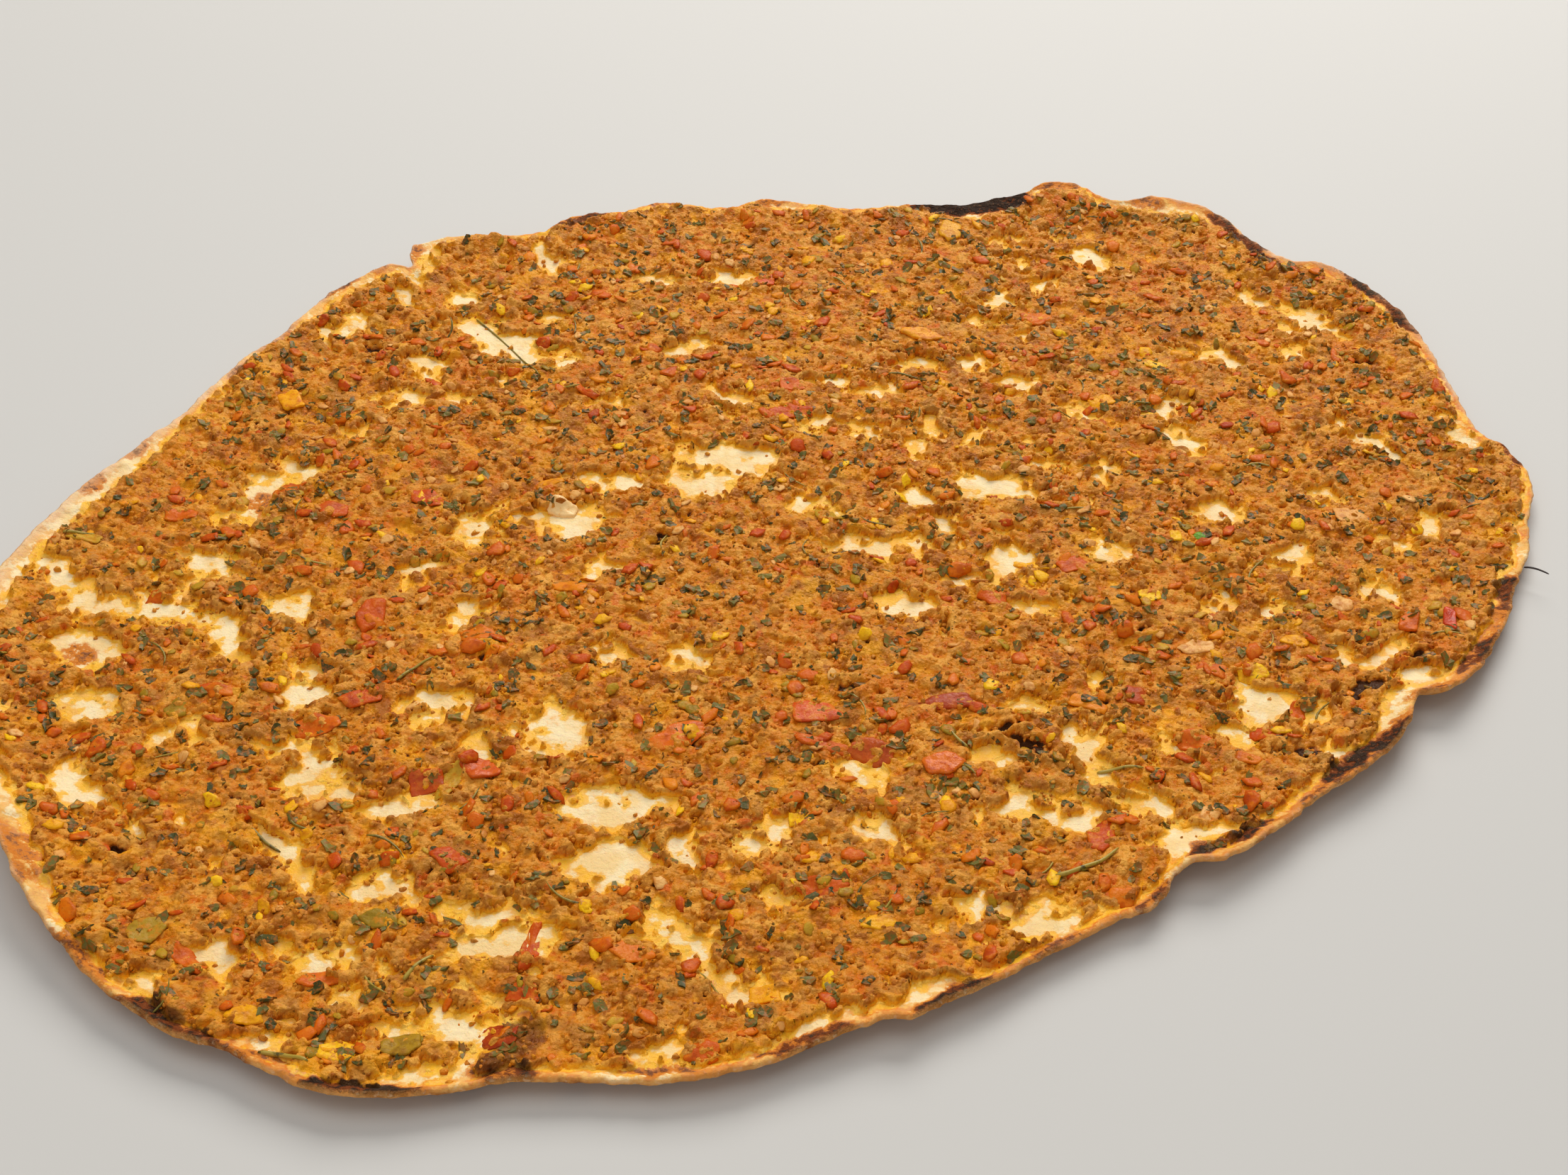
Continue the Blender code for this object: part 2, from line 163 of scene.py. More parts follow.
def noise(x, y, size, seed, layers=1):
    """Smooth noise, about -1 to 1, with features `size` across. Each further layer is half the size."""
    generator = np.random.default_rng(seed)
    total, strength = 0.0, 1.0
    for _ in range(layers):
        turns = generator.uniform(0, math.tau, (256, 256))
        u, v = x / size + 500.37, y / size + 500.71
        i, j = np.floor(u).astype(int), np.floor(v).astype(int)
        u, v = u - i, v - j

        def corner(di, dj):
            turn = turns[(i + di) % 256, (j + dj) % 256]
            return np.cos(turn) * (u - di) + np.sin(turn) * (v - dj)

        ease_u, ease_v = u * u * (3 - 2 * u), v * v * (3 - 2 * v)
        low = corner(0, 0) * (1 - ease_u) + corner(1, 0) * ease_u
        high = corner(0, 1) * (1 - ease_u) + corner(1, 1) * ease_u
        total = total + strength * 1.5 * (low * (1 - ease_v) + high * ease_v)
        size, strength = size / 2, strength / 2
    return total


def eased(t):
    """0 to 1 as t goes from 0 to 1, with soft ends, and held past them."""
    t = np.clip(t, 0, 1)
    return t * t * (3 - 2 * t)


def survey(node, x, y, upwards):
    """Heights of a node's upper or lower surface in mm, read by rays at points in plan."""
    tree = BVHTree.FromPolygons([v.co for v in node.data.vertices], [p.vertices for p in node.data.polygons])
    limit = SURVEY_SHARE * at_bearing(bread_radius, x, y)
    shrink = np.minimum(1, limit / np.maximum(np.hypot(x, y), 1))
    start, way = (-RAY_START, (0, 0, 1)) if upwards else (RAY_START, (0, 0, -1))
    heights = np.zeros(x.size)
    for k, (px, py) in enumerate(zip((x * shrink).ravel(), (y * shrink).ravel())):
        heights[k] = tree.ray_cast((px * MM, py * MM, start), way)[0].z / MM
    return heights.reshape(x.shape)


class Field:
    """Values on a square grid in plan."""

    def __init__(self, pitch, values=None):
        self.pitch = pitch
        self.reach = FIELD_REACH
        ticks = np.arange(-self.reach, self.reach + pitch, pitch)
        self.x, self.y = np.meshgrid(ticks, ticks, indexing="ij")
        self.values = values

    def at(self, x, y):
        """The values read between the grid's points."""
        last = len(self.values) - 1.001
        u = np.clip((x + self.reach) / self.pitch, 0, last)
        v = np.clip((y + self.reach) / self.pitch, 0, last)
        i, j = u.astype(int), v.astype(int)
        u, v = u - i, v - j
        g = self.values
        near = g[i, j] * (1 - u) + g[i + 1, j] * u
        far = g[i, j + 1] * (1 - u) + g[i + 1, j + 1] * u
        return near * (1 - v) + far * v


def smoothed(values, times):
    """A grid's values levelled out over their neighbours, this many times over."""
    for _ in range(times):
        for axis in (0, 1):
            around = np.roll(values, 1, axis) + np.roll(values, -1, axis)
            values = values / 2 + around / 4
    return values


survey_grid = Field(SURVEY_PITCH)
bread_under = Field(SURVEY_PITCH, smoothed(survey(nodes["flatbread"], survey_grid.x, survey_grid.y, True), 2))
bread_over = Field(SURVEY_PITCH, smoothed(survey(nodes["flatbread"], survey_grid.x, survey_grid.y, False), 2))

# How the very edge turns up or stays flat, and how it is baked: bearing in degrees, height and width of the
# turned-up lip in mm, how brown it is, and how wide its pale floury line is in mm.
LIP = (
    (0, 1.0, 3.0, 0.8, 1.0), (12, 0.4, 3.0, 1.0, 1.2), (20, 0.5, 3.0, 1.15, 2.0), (40, 0.5, 3.0, 1.15, 2.4),
    (60, 0.8, 3.0, 1.05, 1.8), (80, 0.5, 3.0, 0.85, 0.8), (95, 0.4, 3.0, 0.7, 0.6),
    (120, 0.5, 3.0, 0.8, 1.2), (150, 0.5, 3.0, 0.65, 2.4), (165, 0.7, 3.5, 0.6, 3.0),
    (180, 1.2, 4.0, 0.5, 3.5), (205, 1.5, 4.0, 0.6, 3.0), (215, 2.2, 5.0, 0.95, 1.6),
    (228, 1.8, 4.0, 0.95, 0.5), (255, 1.4, 3.5, 0.95, 0.3), (275, 1.8, 3.5, 0.95, 0.3),
    (290, 1.6, 3.5, 0.95, 0.5), (305, 2.0, 4.0, 0.95, 0.8), (318, 2.4, 4.0, 1.05, 0.5),
    (330, 2.2, 4.0, 1.05, 0.5), (345, 1.6, 4.0, 1.0, 0.6),
)  # fmt: skip

# Scorched and toasted places of the rim and the bare dough: x, y, length, width, turn in degrees, how dark.
SCORCHES = (
    (44, 140, 26, 9, 8, 1.0), (33, 138, 10, 6, 0, 0.8), (54, 140, 6, 5, 0, 0.8),
    (112, 123, 28, 4, -62, 0.72), (66, 147, 9, 3, 0, 0.45), (89, 141, 5, 4, 0, 0.35),
    (141, 97, 38, 4.2, -62, 0.72), (158, 36, 12, 3, -70, 0.7), (155, 22, 6, 3, -70, 0.4),
    (147, -13.5, 8, 4.5, 62, 0.74), (143.5, -22, 6, 2.4, 62, 0.55), (135, -36, 12, 3, 48, 0.7),
    (140, -31, 20, 6, 55, 0.36), (109.5, -64.5, 24, 4.0, 38, 0.84), (112, -64, 34, 8, 38, 0.42),
    (120, -57, 8, 4, 50, 0.6), (124, -50, 9, 5, 30, 0.5), (99, -77, 12, 5, 40, 0.55),
    (79, -89.5, 16, 2.2, 30, 0.78), (65, -104, 8, 3, 30, 0.6), (28, -128.5, 13, 4, 35, 0.9),
    (46, -116, 10, 2.5, 35, 0.5), (5, -138, 14, 2.5, 20, 0.7), (-20, -145, 10, 2, 0, 0.45),
    (-44, -146, 8, 7, 0, 0.66), (-68, -151, 17, 2.6, 0, 0.9), (-85, -145, 8, 2, 0, 0.5),
    (-98, -141.4, 23, 5.4, -34, 0.82), (-117, -127, 12, 3, -40, 0.5), (-133, -106, 12, 8, -60, 0.34),
    (-144, -88, 8, 3, -70, 0.35), (-156, -60, 10, 2, 85, 0.25), (-151, 5, 5, 3, 60, 0.4),
    (-144, 20, 6, 3, 65, 0.5), (-129, 50, 6, 3, 60, 0.5), (-122, 65, 8, 2.5, 65, 0.4),
    (-114, 85, 12, 3, 48, 0.6), (-104, 96, 5, 3, 40, 0.4), (-97, 103, 5, 4, 60, 0.4),
    (-58, 122, 12, 3, 30, 0.6), (-38, 133, 8, 3, 0, 0.4), (-10, 136, 8, 2.5, 0, 0.4),
    (18, 139, 9, 3, 0, 0.5), (-138.5, -47, 4, 4, 0, 0.4), (-114, 3, 4, 5, 0, 0.4),
    (-127, 44, 3, 3, 0, 0.25), (92, 49, 3, 2, 0, 0.3), (75, -91, 3, 2, 0, 0.5), (100, -68, 5, 3, 0, 0.4),
    (-42, -138, 5, 7, 0, 0.5),
)  # fmt: skip

PLAN_MIDDLE = (-0.1, -1.3)  # the frame's origin in the plan that the places are measured on


def ellipse_distance(x, y, spot):
    """How far outside (or, if negative, inside) an oval each point lies, in mm."""
    turn = math.radians(spot[4])
    dx, dy = x - (spot[0] - PLAN_MIDDLE[0]), y - (spot[1] - PLAN_MIDDLE[1])
    along = dx * math.cos(turn) + dy * math.sin(turn)
    across = dy * math.cos(turn) - dx * math.sin(turn)
    share = np.hypot(along / (spot[2] / 2), across / (spot[3] / 2))
    return (share - 1) * (spot[2] * spot[3]) ** 0.5 / 2


def spots_field(grid, spots, warp, reach, start, gather):
    """A field gathered from ovals, each worked out only near its place."""
    values = np.full(grid.x.shape, start)
    for spot in spots:
        window = []
        for middle in (spot[0] - PLAN_MIDDLE[0], spot[1] - PLAN_MIDDLE[1]):
            low = int((middle - spot[2] / 2 - reach + grid.reach) / grid.pitch)
            high = int((middle + spot[2] / 2 + reach + grid.reach) / grid.pitch) + 2
            window.append(slice(max(low, 0), high))
        window = tuple(window)
        away = ellipse_distance(grid.x[window] + warp[0][window], grid.y[window] + warp[1][window], spot)
        values[window] = gather(values[window], away, spot)
    return values


field = Field(FIELD_PITCH)
warp = [1.6 * noise(field.x, field.y, 6.0, seed, 3) for seed in (11, 12)]


def darker(values, away, spot):
    """The darker of what is there and a scorched place, which fades out round its oval."""
    return np.maximum(values, spot[5] * eased(0.95 - away / 2.6))


def nearer_one(values, away, spot):
    """The distance to the nearest oval."""
    return np.minimum(values, away)


scorch = Field(FIELD_PITCH, spots_field(field, SCORCHES, warp, 6, 0.0, darker))


def lip_at(x, y, column):
    """A column of the lip's table, read at points in plan."""
    place = np.degrees(np.arctan2(y, x)) % 360
    table = np.array(LIP + ((360, *LIP[0][1:]),))
    return np.interp(place, table[:, 0], table[:, column])


edge = bread_radius - EDGE_SETBACK
edge = edge + RAGGED * noise(edge * np.cos(bearings), edge * np.sin(bearings), 3.0, 21, 3)


def turned_up(x, y, inset):
    """How far the lip lifts the dough, in mm, and how steep it is."""
    height, width = lip_at(x, y, 1), lip_at(x, y, 2)
    nearness = np.clip(1 - inset / width, 0, 1)
    return height * nearness**2, 2 * height * nearness / width


def upper_height(x, y, inset):
    """Height of the dough's upper surface in mm: turned up at the lip, wavy, rough and blistered near it."""
    lift, slope = turned_up(x, y, inset)
    over, under = bread_over.at(x, y), bread_under.at(x, y)
    thickness = over - under
    loose = eased(1 - inset / LOOSE_REACH)
    wave = np.maximum(WAVE * loose * noise(x, y, 9.0, 22, 2), LOWEST_WAVE)
    grain = (0.1 + 0.25 * loose) * noise(x, y, 2.6, 23, 3)
    blister = BLISTER * loose * eased((noise(x, y, 7.0, 24) - 0.25) / 0.4) * eased(inset / 2)
    z = (over + under) / 2 + lift + wave + thickness / 2 / np.sqrt(1 + slope**2)
    return np.maximum(z + grain * thickness / 2 + blister, TABLE_GAP + thickness)


def sheet_point(x, y, inset, side):
    """A point of the dough's upper (1) or lower (-1) surface, or of its edge (0), in mm."""
    out_x, out_y = x / np.hypot(x, y), y / np.hypot(x, y)
    lift, slope = turned_up(x, y, inset)
    thickness = bread_over.at(x, y) - bread_under.at(x, y)
    push = side * slope * thickness / 2 / np.sqrt(1 + slope**2)
    if side > 0:
        z = upper_height(x, y, inset)
    else:
        wave = WAVE * eased(1 - inset / LOOSE_REACH) * noise(x, y, 9.0, 22, 2)
        z = (bread_over.at(x, y) + bread_under.at(x, y)) / 2 + lift + np.maximum(wave, LOWEST_WAVE)
        z = z + side * thickness / 2 / np.sqrt(1 + slope**2)
        z = np.maximum(z, TABLE_GAP + thickness * (side + 1) / 2)
    return np.stack((x - out_x * push, y - out_y * push, z), axis=-1)


def ring(inset, side):
    """Points all round, this far in from the edge, on the upper, the lower or neither side."""
    radius = edge - inset
    x, y = radius * np.cos(bearings), radius * np.sin(bearings)
    return sheet_point(x, y, np.full(BEARINGS, float(inset)), side)


KEEP_INSIDE = 1  # Blender's number for triangles inside the outline only
SAME_POINT = 1e-5


def filled(loop, spacing):
    """Triangles that fill a closed loop of plan points, with a staggered grid of points inside it."""
    row_height = spacing * math.sin(math.radians(60))
    reach_x, reach_y = np.abs(loop).max(axis=0)
    rows = np.arange(-reach_y, reach_y, row_height)
    columns = np.arange(-reach_x, reach_x, spacing)
    x, y = np.meshgrid(columns, rows)
    x = x + (np.arange(len(rows)) % 2)[:, None] * spacing / 2
    shrunk = np.hypot(*loop.T) - spacing * 0.7
    inside = np.hypot(x, y) < at_bearing(shrunk, x, y)
    plan = np.concatenate((loop, np.stack((x[inside], y[inside]), axis=-1)))
    edges = [(i, (i + 1) % len(loop)) for i in range(len(loop))]
    made = delaunay_2d_cdt([Vector(p) for p in plan.tolist()], edges, [], KEEP_INSIDE, SAME_POINT)
    assert len(made[0]) == len(plan)
    return plan, np.array(made[2])


def new_object(name, points, faces, material, attributes=None):
    """A mesh object at the origin from points in mm, with float attributes on its points."""
    mesh = bpy.data.meshes.new(name)
    mesh.from_pydata((np.asarray(points) * MM).tolist(), [], [tuple(f) for f in faces])
    mesh.materials.append(material)
    for label, values in (attributes or {}).items():
        layer = mesh.attributes.new(label, "FLOAT", "POINT")
        layer.data.foreach_set("value", np.asarray(values, np.float32))
    mesh.shade_smooth()
    obj = bpy.data.objects.new(name, mesh)
    scene.collection.objects.link(obj)
    return obj


def build_bread():
    """Points in mm and faces of the sheet: rings near its edge, and triangles inside them."""
    upper = [ring(0, 0)] + [ring(inset, 1) for inset in RIM_INSETS]
    lower = [ring(inset, -1) for inset in UNDER_INSETS]
    rings = lower[::-1] + upper
    points = np.concatenate(rings)
    faces = []
    for k in range(len(rings) - 1):
        a = k * BEARINGS + np.arange(BEARINGS)
        b = k * BEARINGS + (np.arange(BEARINGS) + 1) % BEARINGS
        faces += np.stack((a, b, b + BEARINGS, a + BEARINGS), axis=-1).tolist()
    for first, loop, spacing, side in (
        (len(points) - BEARINGS, rings[-1], TOP_SPACING, 1),
        (0, rings[0], UNDER_SPACING, -1),
    ):
        plan, triangles = filled(loop[:, :2], spacing)
        inner = plan[BEARINGS:]
        index = np.concatenate((first + np.arange(BEARINGS), len(points) + np.arange(len(inner))))
        points = np.concatenate((points, sheet_point(*inner.T, np.full(len(inner), 20.0), side)))
        faces += index[triangles][:, ::side].tolist()
    return points, faces


# ---------------------------------------------------------------- the plan of the spread
# The mince is pressed on by hand, so it is thin, uneven and torn open in many places, where the dough shows.
# Each bare place is an oval of a given place and size, and the fields below tear its edges.

BARE = (
    # far left: x, y, length, width, turn
    (-95, 104, 8, 6, 0), (-94.5, 95, 9, 3, 85), (-96, 86, 9, 3.5, -45), (-82, 87, 6, 5, 0),
    (-64, 107, 10, 4, -40), (-72, 69, 25, 9, -30), (-76, 74, 10, 5, 50), (-87, 58, 9, 5, -40),
    (-71, 51, 4, 3, 0), (-91, 43, 6, 6, 0), (-79, 44, 5, 3, 0), (-56, 61, 4, 4, 0), (-27, 70, 7, 4, 0),
    (-36, 99, 5, 5, 0), (-18, 101, 9, 5, 30), (-16, 48, 6, 5, 0), (-17, 25, 20, 8, -10),
    (-39, 15, 14, 4, 0), (-20, 15, 12, 8, -20), (-47, 1, 12, 10, 0), (-56, 2, 4, 4, 0),
    (-109, 14, 9, 6, -30), (-114, 3, 6, 16, 0), (-106, 73, 7, 4, 40), (-112, 69, 3, 3, 0),
    (-129, 44, 5, 3, 50), (-60, 80, 5, 2.5, 30), (-45, 45, 5, 2.5, -30), (-100, 30, 5, 2.5, 0),
    # far right
    (63, 126, 5, 3, 0), (72, 116, 10, 5, -40), (57, 114, 7, 3, 20), (48, 123, 8, 2, 30),
    (60, 103, 6, 4, 40), (49, 93, 7, 5, 0), (42, 85, 6, 3, 0), (52, 79, 4, 3, 0), (124, 90, 15, 4, -45),
    (118, 86, 6, 3, -20), (112, 101, 6, 3, -40), (99, 72, 9, 5, -30), (117, 75, 4, 4, 0), (29, 65, 4, 4, 0),
    (23, 64, 4, 3, 0), (40, 66, 5, 3, 0), (50, 58, 8, 5, 0), (7, 56, 8, 4, 20), (18, 54, 6, 3, 0),
    (63, 48, 4, 4, 0), (84, 51, 10, 6, 10), (87, 38, 9, 4, -40), (129, 39, 10, 4, -50), (123, 47, 4, 4, 0),
    (150, 40, 12, 4, -60), (5, 40, 8, 5, 0), (28, 38, 5, 4, 0), (16, 36, 6, 4, 0), (25, 33, 5, 3, 0),
    (40, 35, 7, 3, 0), (54, 28, 7, 3, 0), (66, 26, 8, 3, 0), (66, 24, 3, 8, 0), (43, 18, 15, 7, -5),
    (116, 20, 4, 3, 0), (91, 10, 9, 8, 0), (134, 8, 8, 3, -30), (127, 3, 6, 2, 0), (2, 8, 6, 4, 0),
    (26, 12, 5, 5, 0), (30, 5, 10, 3, 0), (155, 6, 10, 3, -60),
    # near left
    (-67, -4, 10, 6, 0), (-39, -15, 6, 3, 0), (-76, -17, 5, 3, 0), (-148, -26, 12, 5, -45),
    (-140, -31, 10, 3, -45), (-120, -19, 10, 6, 0), (-125, -32, 13, 5, -20), (-113, -40, 14, 4, -45),
    (-137, -46, 11, 8, 0), (-133, -63, 7, 5, 0), (-121.5, -26, 11, 1.4, 65), (-118.5, -36, 10, 1.4, -35),
    (-108, -46, 8, 1.4, -50), (-125, -16.5, 9, 1.3, -20), (-131, -34, 9, 1.3, -15), (-148, -66, 3, 3, 0),
    (-101, -32, 7, 5, 0), (-66, -31, 5, 4, 0), (-94, -50, 5, 4, 0), (-92, -57, 8, 5, 0),
    (-68, -57, 9, 3, 45), (-66, -60, 9, 3, 45), (-43, -64, 10, 9, 0), (-44, -71, 8, 3, 0),
    (-113, -68, 5, 4, 0), (-93, -71, 8, 3, 0), (-87, -78, 10, 7, 40), (-84, -82, 6, 3, 0),
    (-71, -86, 14, 5, 15), (-58, -72, 6, 4, 0), (-21, -42, 6, 4, 0), (-36, -42, 5, 4, 0),
    (-130, -84, 13, 7, -35), (-116, -93, 6, 3, 0), (-90, -97, 12, 4, -40), (-70, -105, 10, 4, 0),
    (-32, -85, 16, 6, 10), (-31, -98, 14, 10, 0), (-19, -94, 5, 5, 0), (-8, -93, 4, 3, 0),
    (-2, -88, 4, 4, 0), (-2, -105, 4, 4, 0), (-58, -110, 6, 4, 0), (-50, -112, 12, 5, 20),
    (-49, -119, 14, 5, 10), (-22, -113, 6, 6, 0), (-16, -116, 6, 6, 0), (-95, -123, 9, 5, 0),
    (-77, -123, 10, 4, 0), (-7, -127, 8, 6, 0), (-72, -130, 4, 2, 0), (-46, -132, 5, 3, 0),
    (-54, -136, 9, 8, 0), (-64, -138, 9, 3, -10), (-105, -131, 4, 4, 0), (-55, -147, 12, 4, 0),
    (-20, -141, 6, 6, 0), (-84, -143, 7, 4, 0),
    # near right
    (15, -5, 20, 4, 0), (45, -8, 9, 8, 0), (36, -15, 8, 3, 0), (66, -4, 5, 5, 0), (104, -3, 8, 5, 0),
    (121, -14, 6, 5, 0), (86, -20, 6, 5, 0), (96, -22, 5, 5, 0), (24, -24, 10, 7, 0), (48, -24, 7, 5, 0),
    (60, -44, 4, 2, 0), (44, -53, 5, 3, 0), (90, -51, 10, 9, 0), (100, -53, 7, 3, 60),
    (115, -34, 12, 4, 10), (85, -59, 6, 4, 0), (73, -64, 7, 3, 0), (56, -64, 5, 11, 0), (58, -72, 4, 4, 0),
    (40, -67, 6, 3, 0), (45, -81, 10, 4, 0), (53, -83, 8, 6, 0), (66, -80, 10, 6, 0), (72, -89, 8, 8, 0),
    (15, -88, 8, 4, 0), (13, -72, 6, 5, 0), (34, -106, 6, 5, 0), (43, -110, 8, 7, 0), (24, -128, 9, 4, 35),
    (5, -134, 10, 5, 20), (123, -43, 6, 4, 0), (119, -52, 6, 4, 0), (103, -66, 6, 4, 0),
)  # fmt: skip

# Deep gaps between clumps, where the spread parts without showing dough, their floors darkened with painted
# shade: x, y, length, width, turn.
GAPS = (
    (45, -64, 5, 2.6, -35), (41, -60, 3, 1.6, 20), (111, -46, 6.5, 4, 30), (107, -49, 3, 1.6, -20),
    (97, -64, 4.5, 2.4, 0), (124, -36, 4, 2.4, 0), (-99, 62, 3.5, 2, 0), (22, 69, 2, 1.2, 0),
    (133, 71, 2.4, 1.5, 0), (-2, 22, 1.6, 1, 0), (-28, -6, 2, 1, 30), (70, -30, 2, 1, 0),
    (88, -8, 2, 1.2, 0), (-60, -45, 2, 1, 0), (10, -50, 2, 1, 0), (-118, -100, 2.5, 1.5, 0),
    (60, 66, 2, 1, 0),
)  # fmt: skip

FILM = 0.2  # thickness of the smear of fat and paste between the clumps
BARE_SINK = 0.4  # how far under the dough's surface the bed lies at a bare place
BARE_EDGE = 2.3  # the mince never lies nearer the edge than this
# How much nearer the edge the mince lies than the solid's: bearing in degrees, mm.
NEARER = (
    (0, 0.2), (40, 0.0), (95, 0.4), (115, 1.3), (150, 1.2), (185, 0.6), (225, 0.8), (245, 1.6), (300, 1.5),
    (325, 0.8), (360, 0.2),
)  # fmt: skip


def along_turn(x, y, turn, along, across):
    """The plan point so far along and across a direction that is turned by some degrees."""
    c, s = math.cos(math.radians(turn)), math.sin(math.radians(turn))
    return x + along * c - across * s, y + along * s + across * c


def with_lobes(spots, count, seed):
    """The spots, each with some smaller ovals about its edge, so that its outline branches."""
    generator = np.random.default_rng(seed)
    every = list(spots)
    for x, y, length, width, turn in spots:
        for _ in range(count):
            way, share = generator.uniform(0, math.tau), generator.uniform(0.7, 1.15)
            along, across = share * length / 2 * math.cos(way), share * width / 2 * math.sin(way)
            place = along_turn(x, y, turn, along, across)
            size = generator.uniform(0.25, 0.6) * (length * width) ** 0.5
            shape = size * generator.uniform(0.9, 1.7), size * generator.uniform(0.4, 0.8)
            every.append((*place, *shape, generator.uniform(-90, 90)))
    return every


def scattered_centres(x, y, size, seed, kept):
    """For each of the nine nearest of many centres, its distance in steps of `size` and its random values."""
    generator = np.random.default_rng(seed)
    shift_x, shift_y, *values = generator.uniform(0, 1, (2 + kept, 256, 256))
    u, v = x / size + 300.0, y / size + 300.0
    i, j = np.floor(u).astype(int), np.floor(v).astype(int)
    for di in (-1, 0, 1):
        for dj in (-1, 0, 1):
            k = (i + di) % 256, (j + dj) % 256
            away = np.hypot(i + di + shift_x[k] - u, j + dj + shift_y[k] - v)
            yield away, [value[k] for value in values]


def heap(x, y, size, seed):
    """The top of a heap of uneven crumbs about `size` across, 0 to 1, and a tint for each crumb."""
    top, tint = np.zeros(x.shape), np.full(x.shape, 0.5)
    for away, (tall, wide, its_tint) in scattered_centres(x, y, size, seed, 3):
        rise = (0.4 + 0.6 * tall) * (1 - (away / (0.55 + 0.5 * wide)) ** 2)
        tint = np.where(rise > top, its_tint, tint)
        top = np.maximum(top, rise)
    return top, tint


inset = at_bearing(bread_radius, field.x, field.y) - np.hypot(field.x, field.y)
nearer = np.interp(np.degrees(np.arctan2(field.y, field.x)) % 360, *zip(*NEARER))
rim_margin = np.maximum(at_bearing(bread_radius - spread_radius, field.x, field.y) - nearer, 1.3)
fray = 1.1 * noise(field.x, field.y, 3.4, 31, 2) + 0.8 * noise(field.x, field.y, 1.5, 32, 1)
tear = [3.2 * noise(field.x, field.y, 8.0, seed, 1) for seed in (43, 44)]
tear = [far + 2.0 * noise(field.x, field.y, 3.0, seed, 2) for far, seed in zip(tear, (45, 46))]
holes = spots_field(field, with_lobes(BARE, 4, 48), tear, 9, 9.0, nearer_one)
nicks = 3.8 * (1.08 - noise(field.x, field.y, 4.2, 47, 3) - 0.4 * eased(1 - (holes - 2) / 6))
rim_cover = np.minimum(inset - rim_margin + fray, inset - BARE_EDGE)
cover = np.minimum(rim_cover, np.minimum(holes + 1.6 * fray - 0.4, nicks))
gap = spots_field(field, GAPS, warp, 5, 9.0, nearer_one)
gap = gap + 0.7 * noise(field.x, field.y, 1.6, 50, 2)

bend = [noise(field.x, field.y, 2.5, seed, 3) for seed in (33, 34)]
wx, wy = field.x + 0.9 * bend[0], field.y + 0.9 * bend[1]
film = FILM * eased(cover / 0.5)  # the translucent smear that runs out from under the clumps
large, large_tint = heap(wx, wy, 5.0, 46)
middling, middling_tint = heap(wx, wy, 2.6, 49)
small, small_tint = heap(field.x + 0.4 * bend[1], field.y + 0.4 * bend[0], 1.35, 38)
clump = eased((cover - 0.5 + 1.0 * noise(field.x, field.y, 3.0, 35, 3) + 0.9 * (middling - 0.4)) / 0.7)
shoulder = 0.62 + 0.38 * eased(cover / 1.8)  # the clumps round off towards their edges
lumps = 0.55 * noise(field.x, field.y, 10.0, 45, 2) + 0.8 * (np.abs(noise(wx, wy, 6.5, 36, 2)) - 0.35)
lumps = lumps + 0.75 * (large - 0.4) + 0.8 * eased(1 - np.abs(gap - 2.5) / 2.5)
grains = 0.75 * (middling - 0.4) + 0.42 * (small - 0.4)
to_pit = np.minimum.reduce([away for away, _ in scattered_centres(wx, wy, 7.0, 40, 0)])
pits = eased((0.09 - to_pit) / 0.05) * (noise(field.x, field.y, 20, 41) > 0.0)
hollow = 0.7 * pits + eased(0.8 - gap)
relief = (1.1 + 1.1 * lumps + 1.1 * grains) * shoulder - 1.6 * hollow
crumb_tint = 0.45 * middling_tint + 0.3 * small_tint + 0.25 * large_tint
height = film + clump * np.maximum(relief, 0.12 + 0.5 * small) + 0.1 * film * grains
height = height + 0.12 * noise(field.x, field.y, 0.85, 39, 1) * eased(cover / 0.5)
height = np.where(cover > 0, np.maximum(height, 0.02), -BARE_SINK * eased(-cover / 0.5))

soak_noise = 0.45 * noise(field.x, field.y, 4.0, 42, 3) + 0.2 * noise(field.x, field.y, 1.5, 51, 2)
soak = Field(FIELD_PITCH, smoothed(eased(0.88 + cover / 2.35 + soak_noise), 1))

# ---------------------------------------------------------------- the flatbread, baked
# The dough of the flatbread: cream where it is bare, yellow to brown where fat has soaked in, toasted and
# charred along its rim, and floury at its very edge. It is one closed sheet, made from the rings above.


def linear(*colour):
    """A linear colour from the 0 to 255 values that a colour chart gives."""
    shares = [value / 255 for value in colour]
    return tuple(s / 12.92 if s <= 0.04045 else ((s + 0.055) / 1.055) ** 2.4 for s in shares)


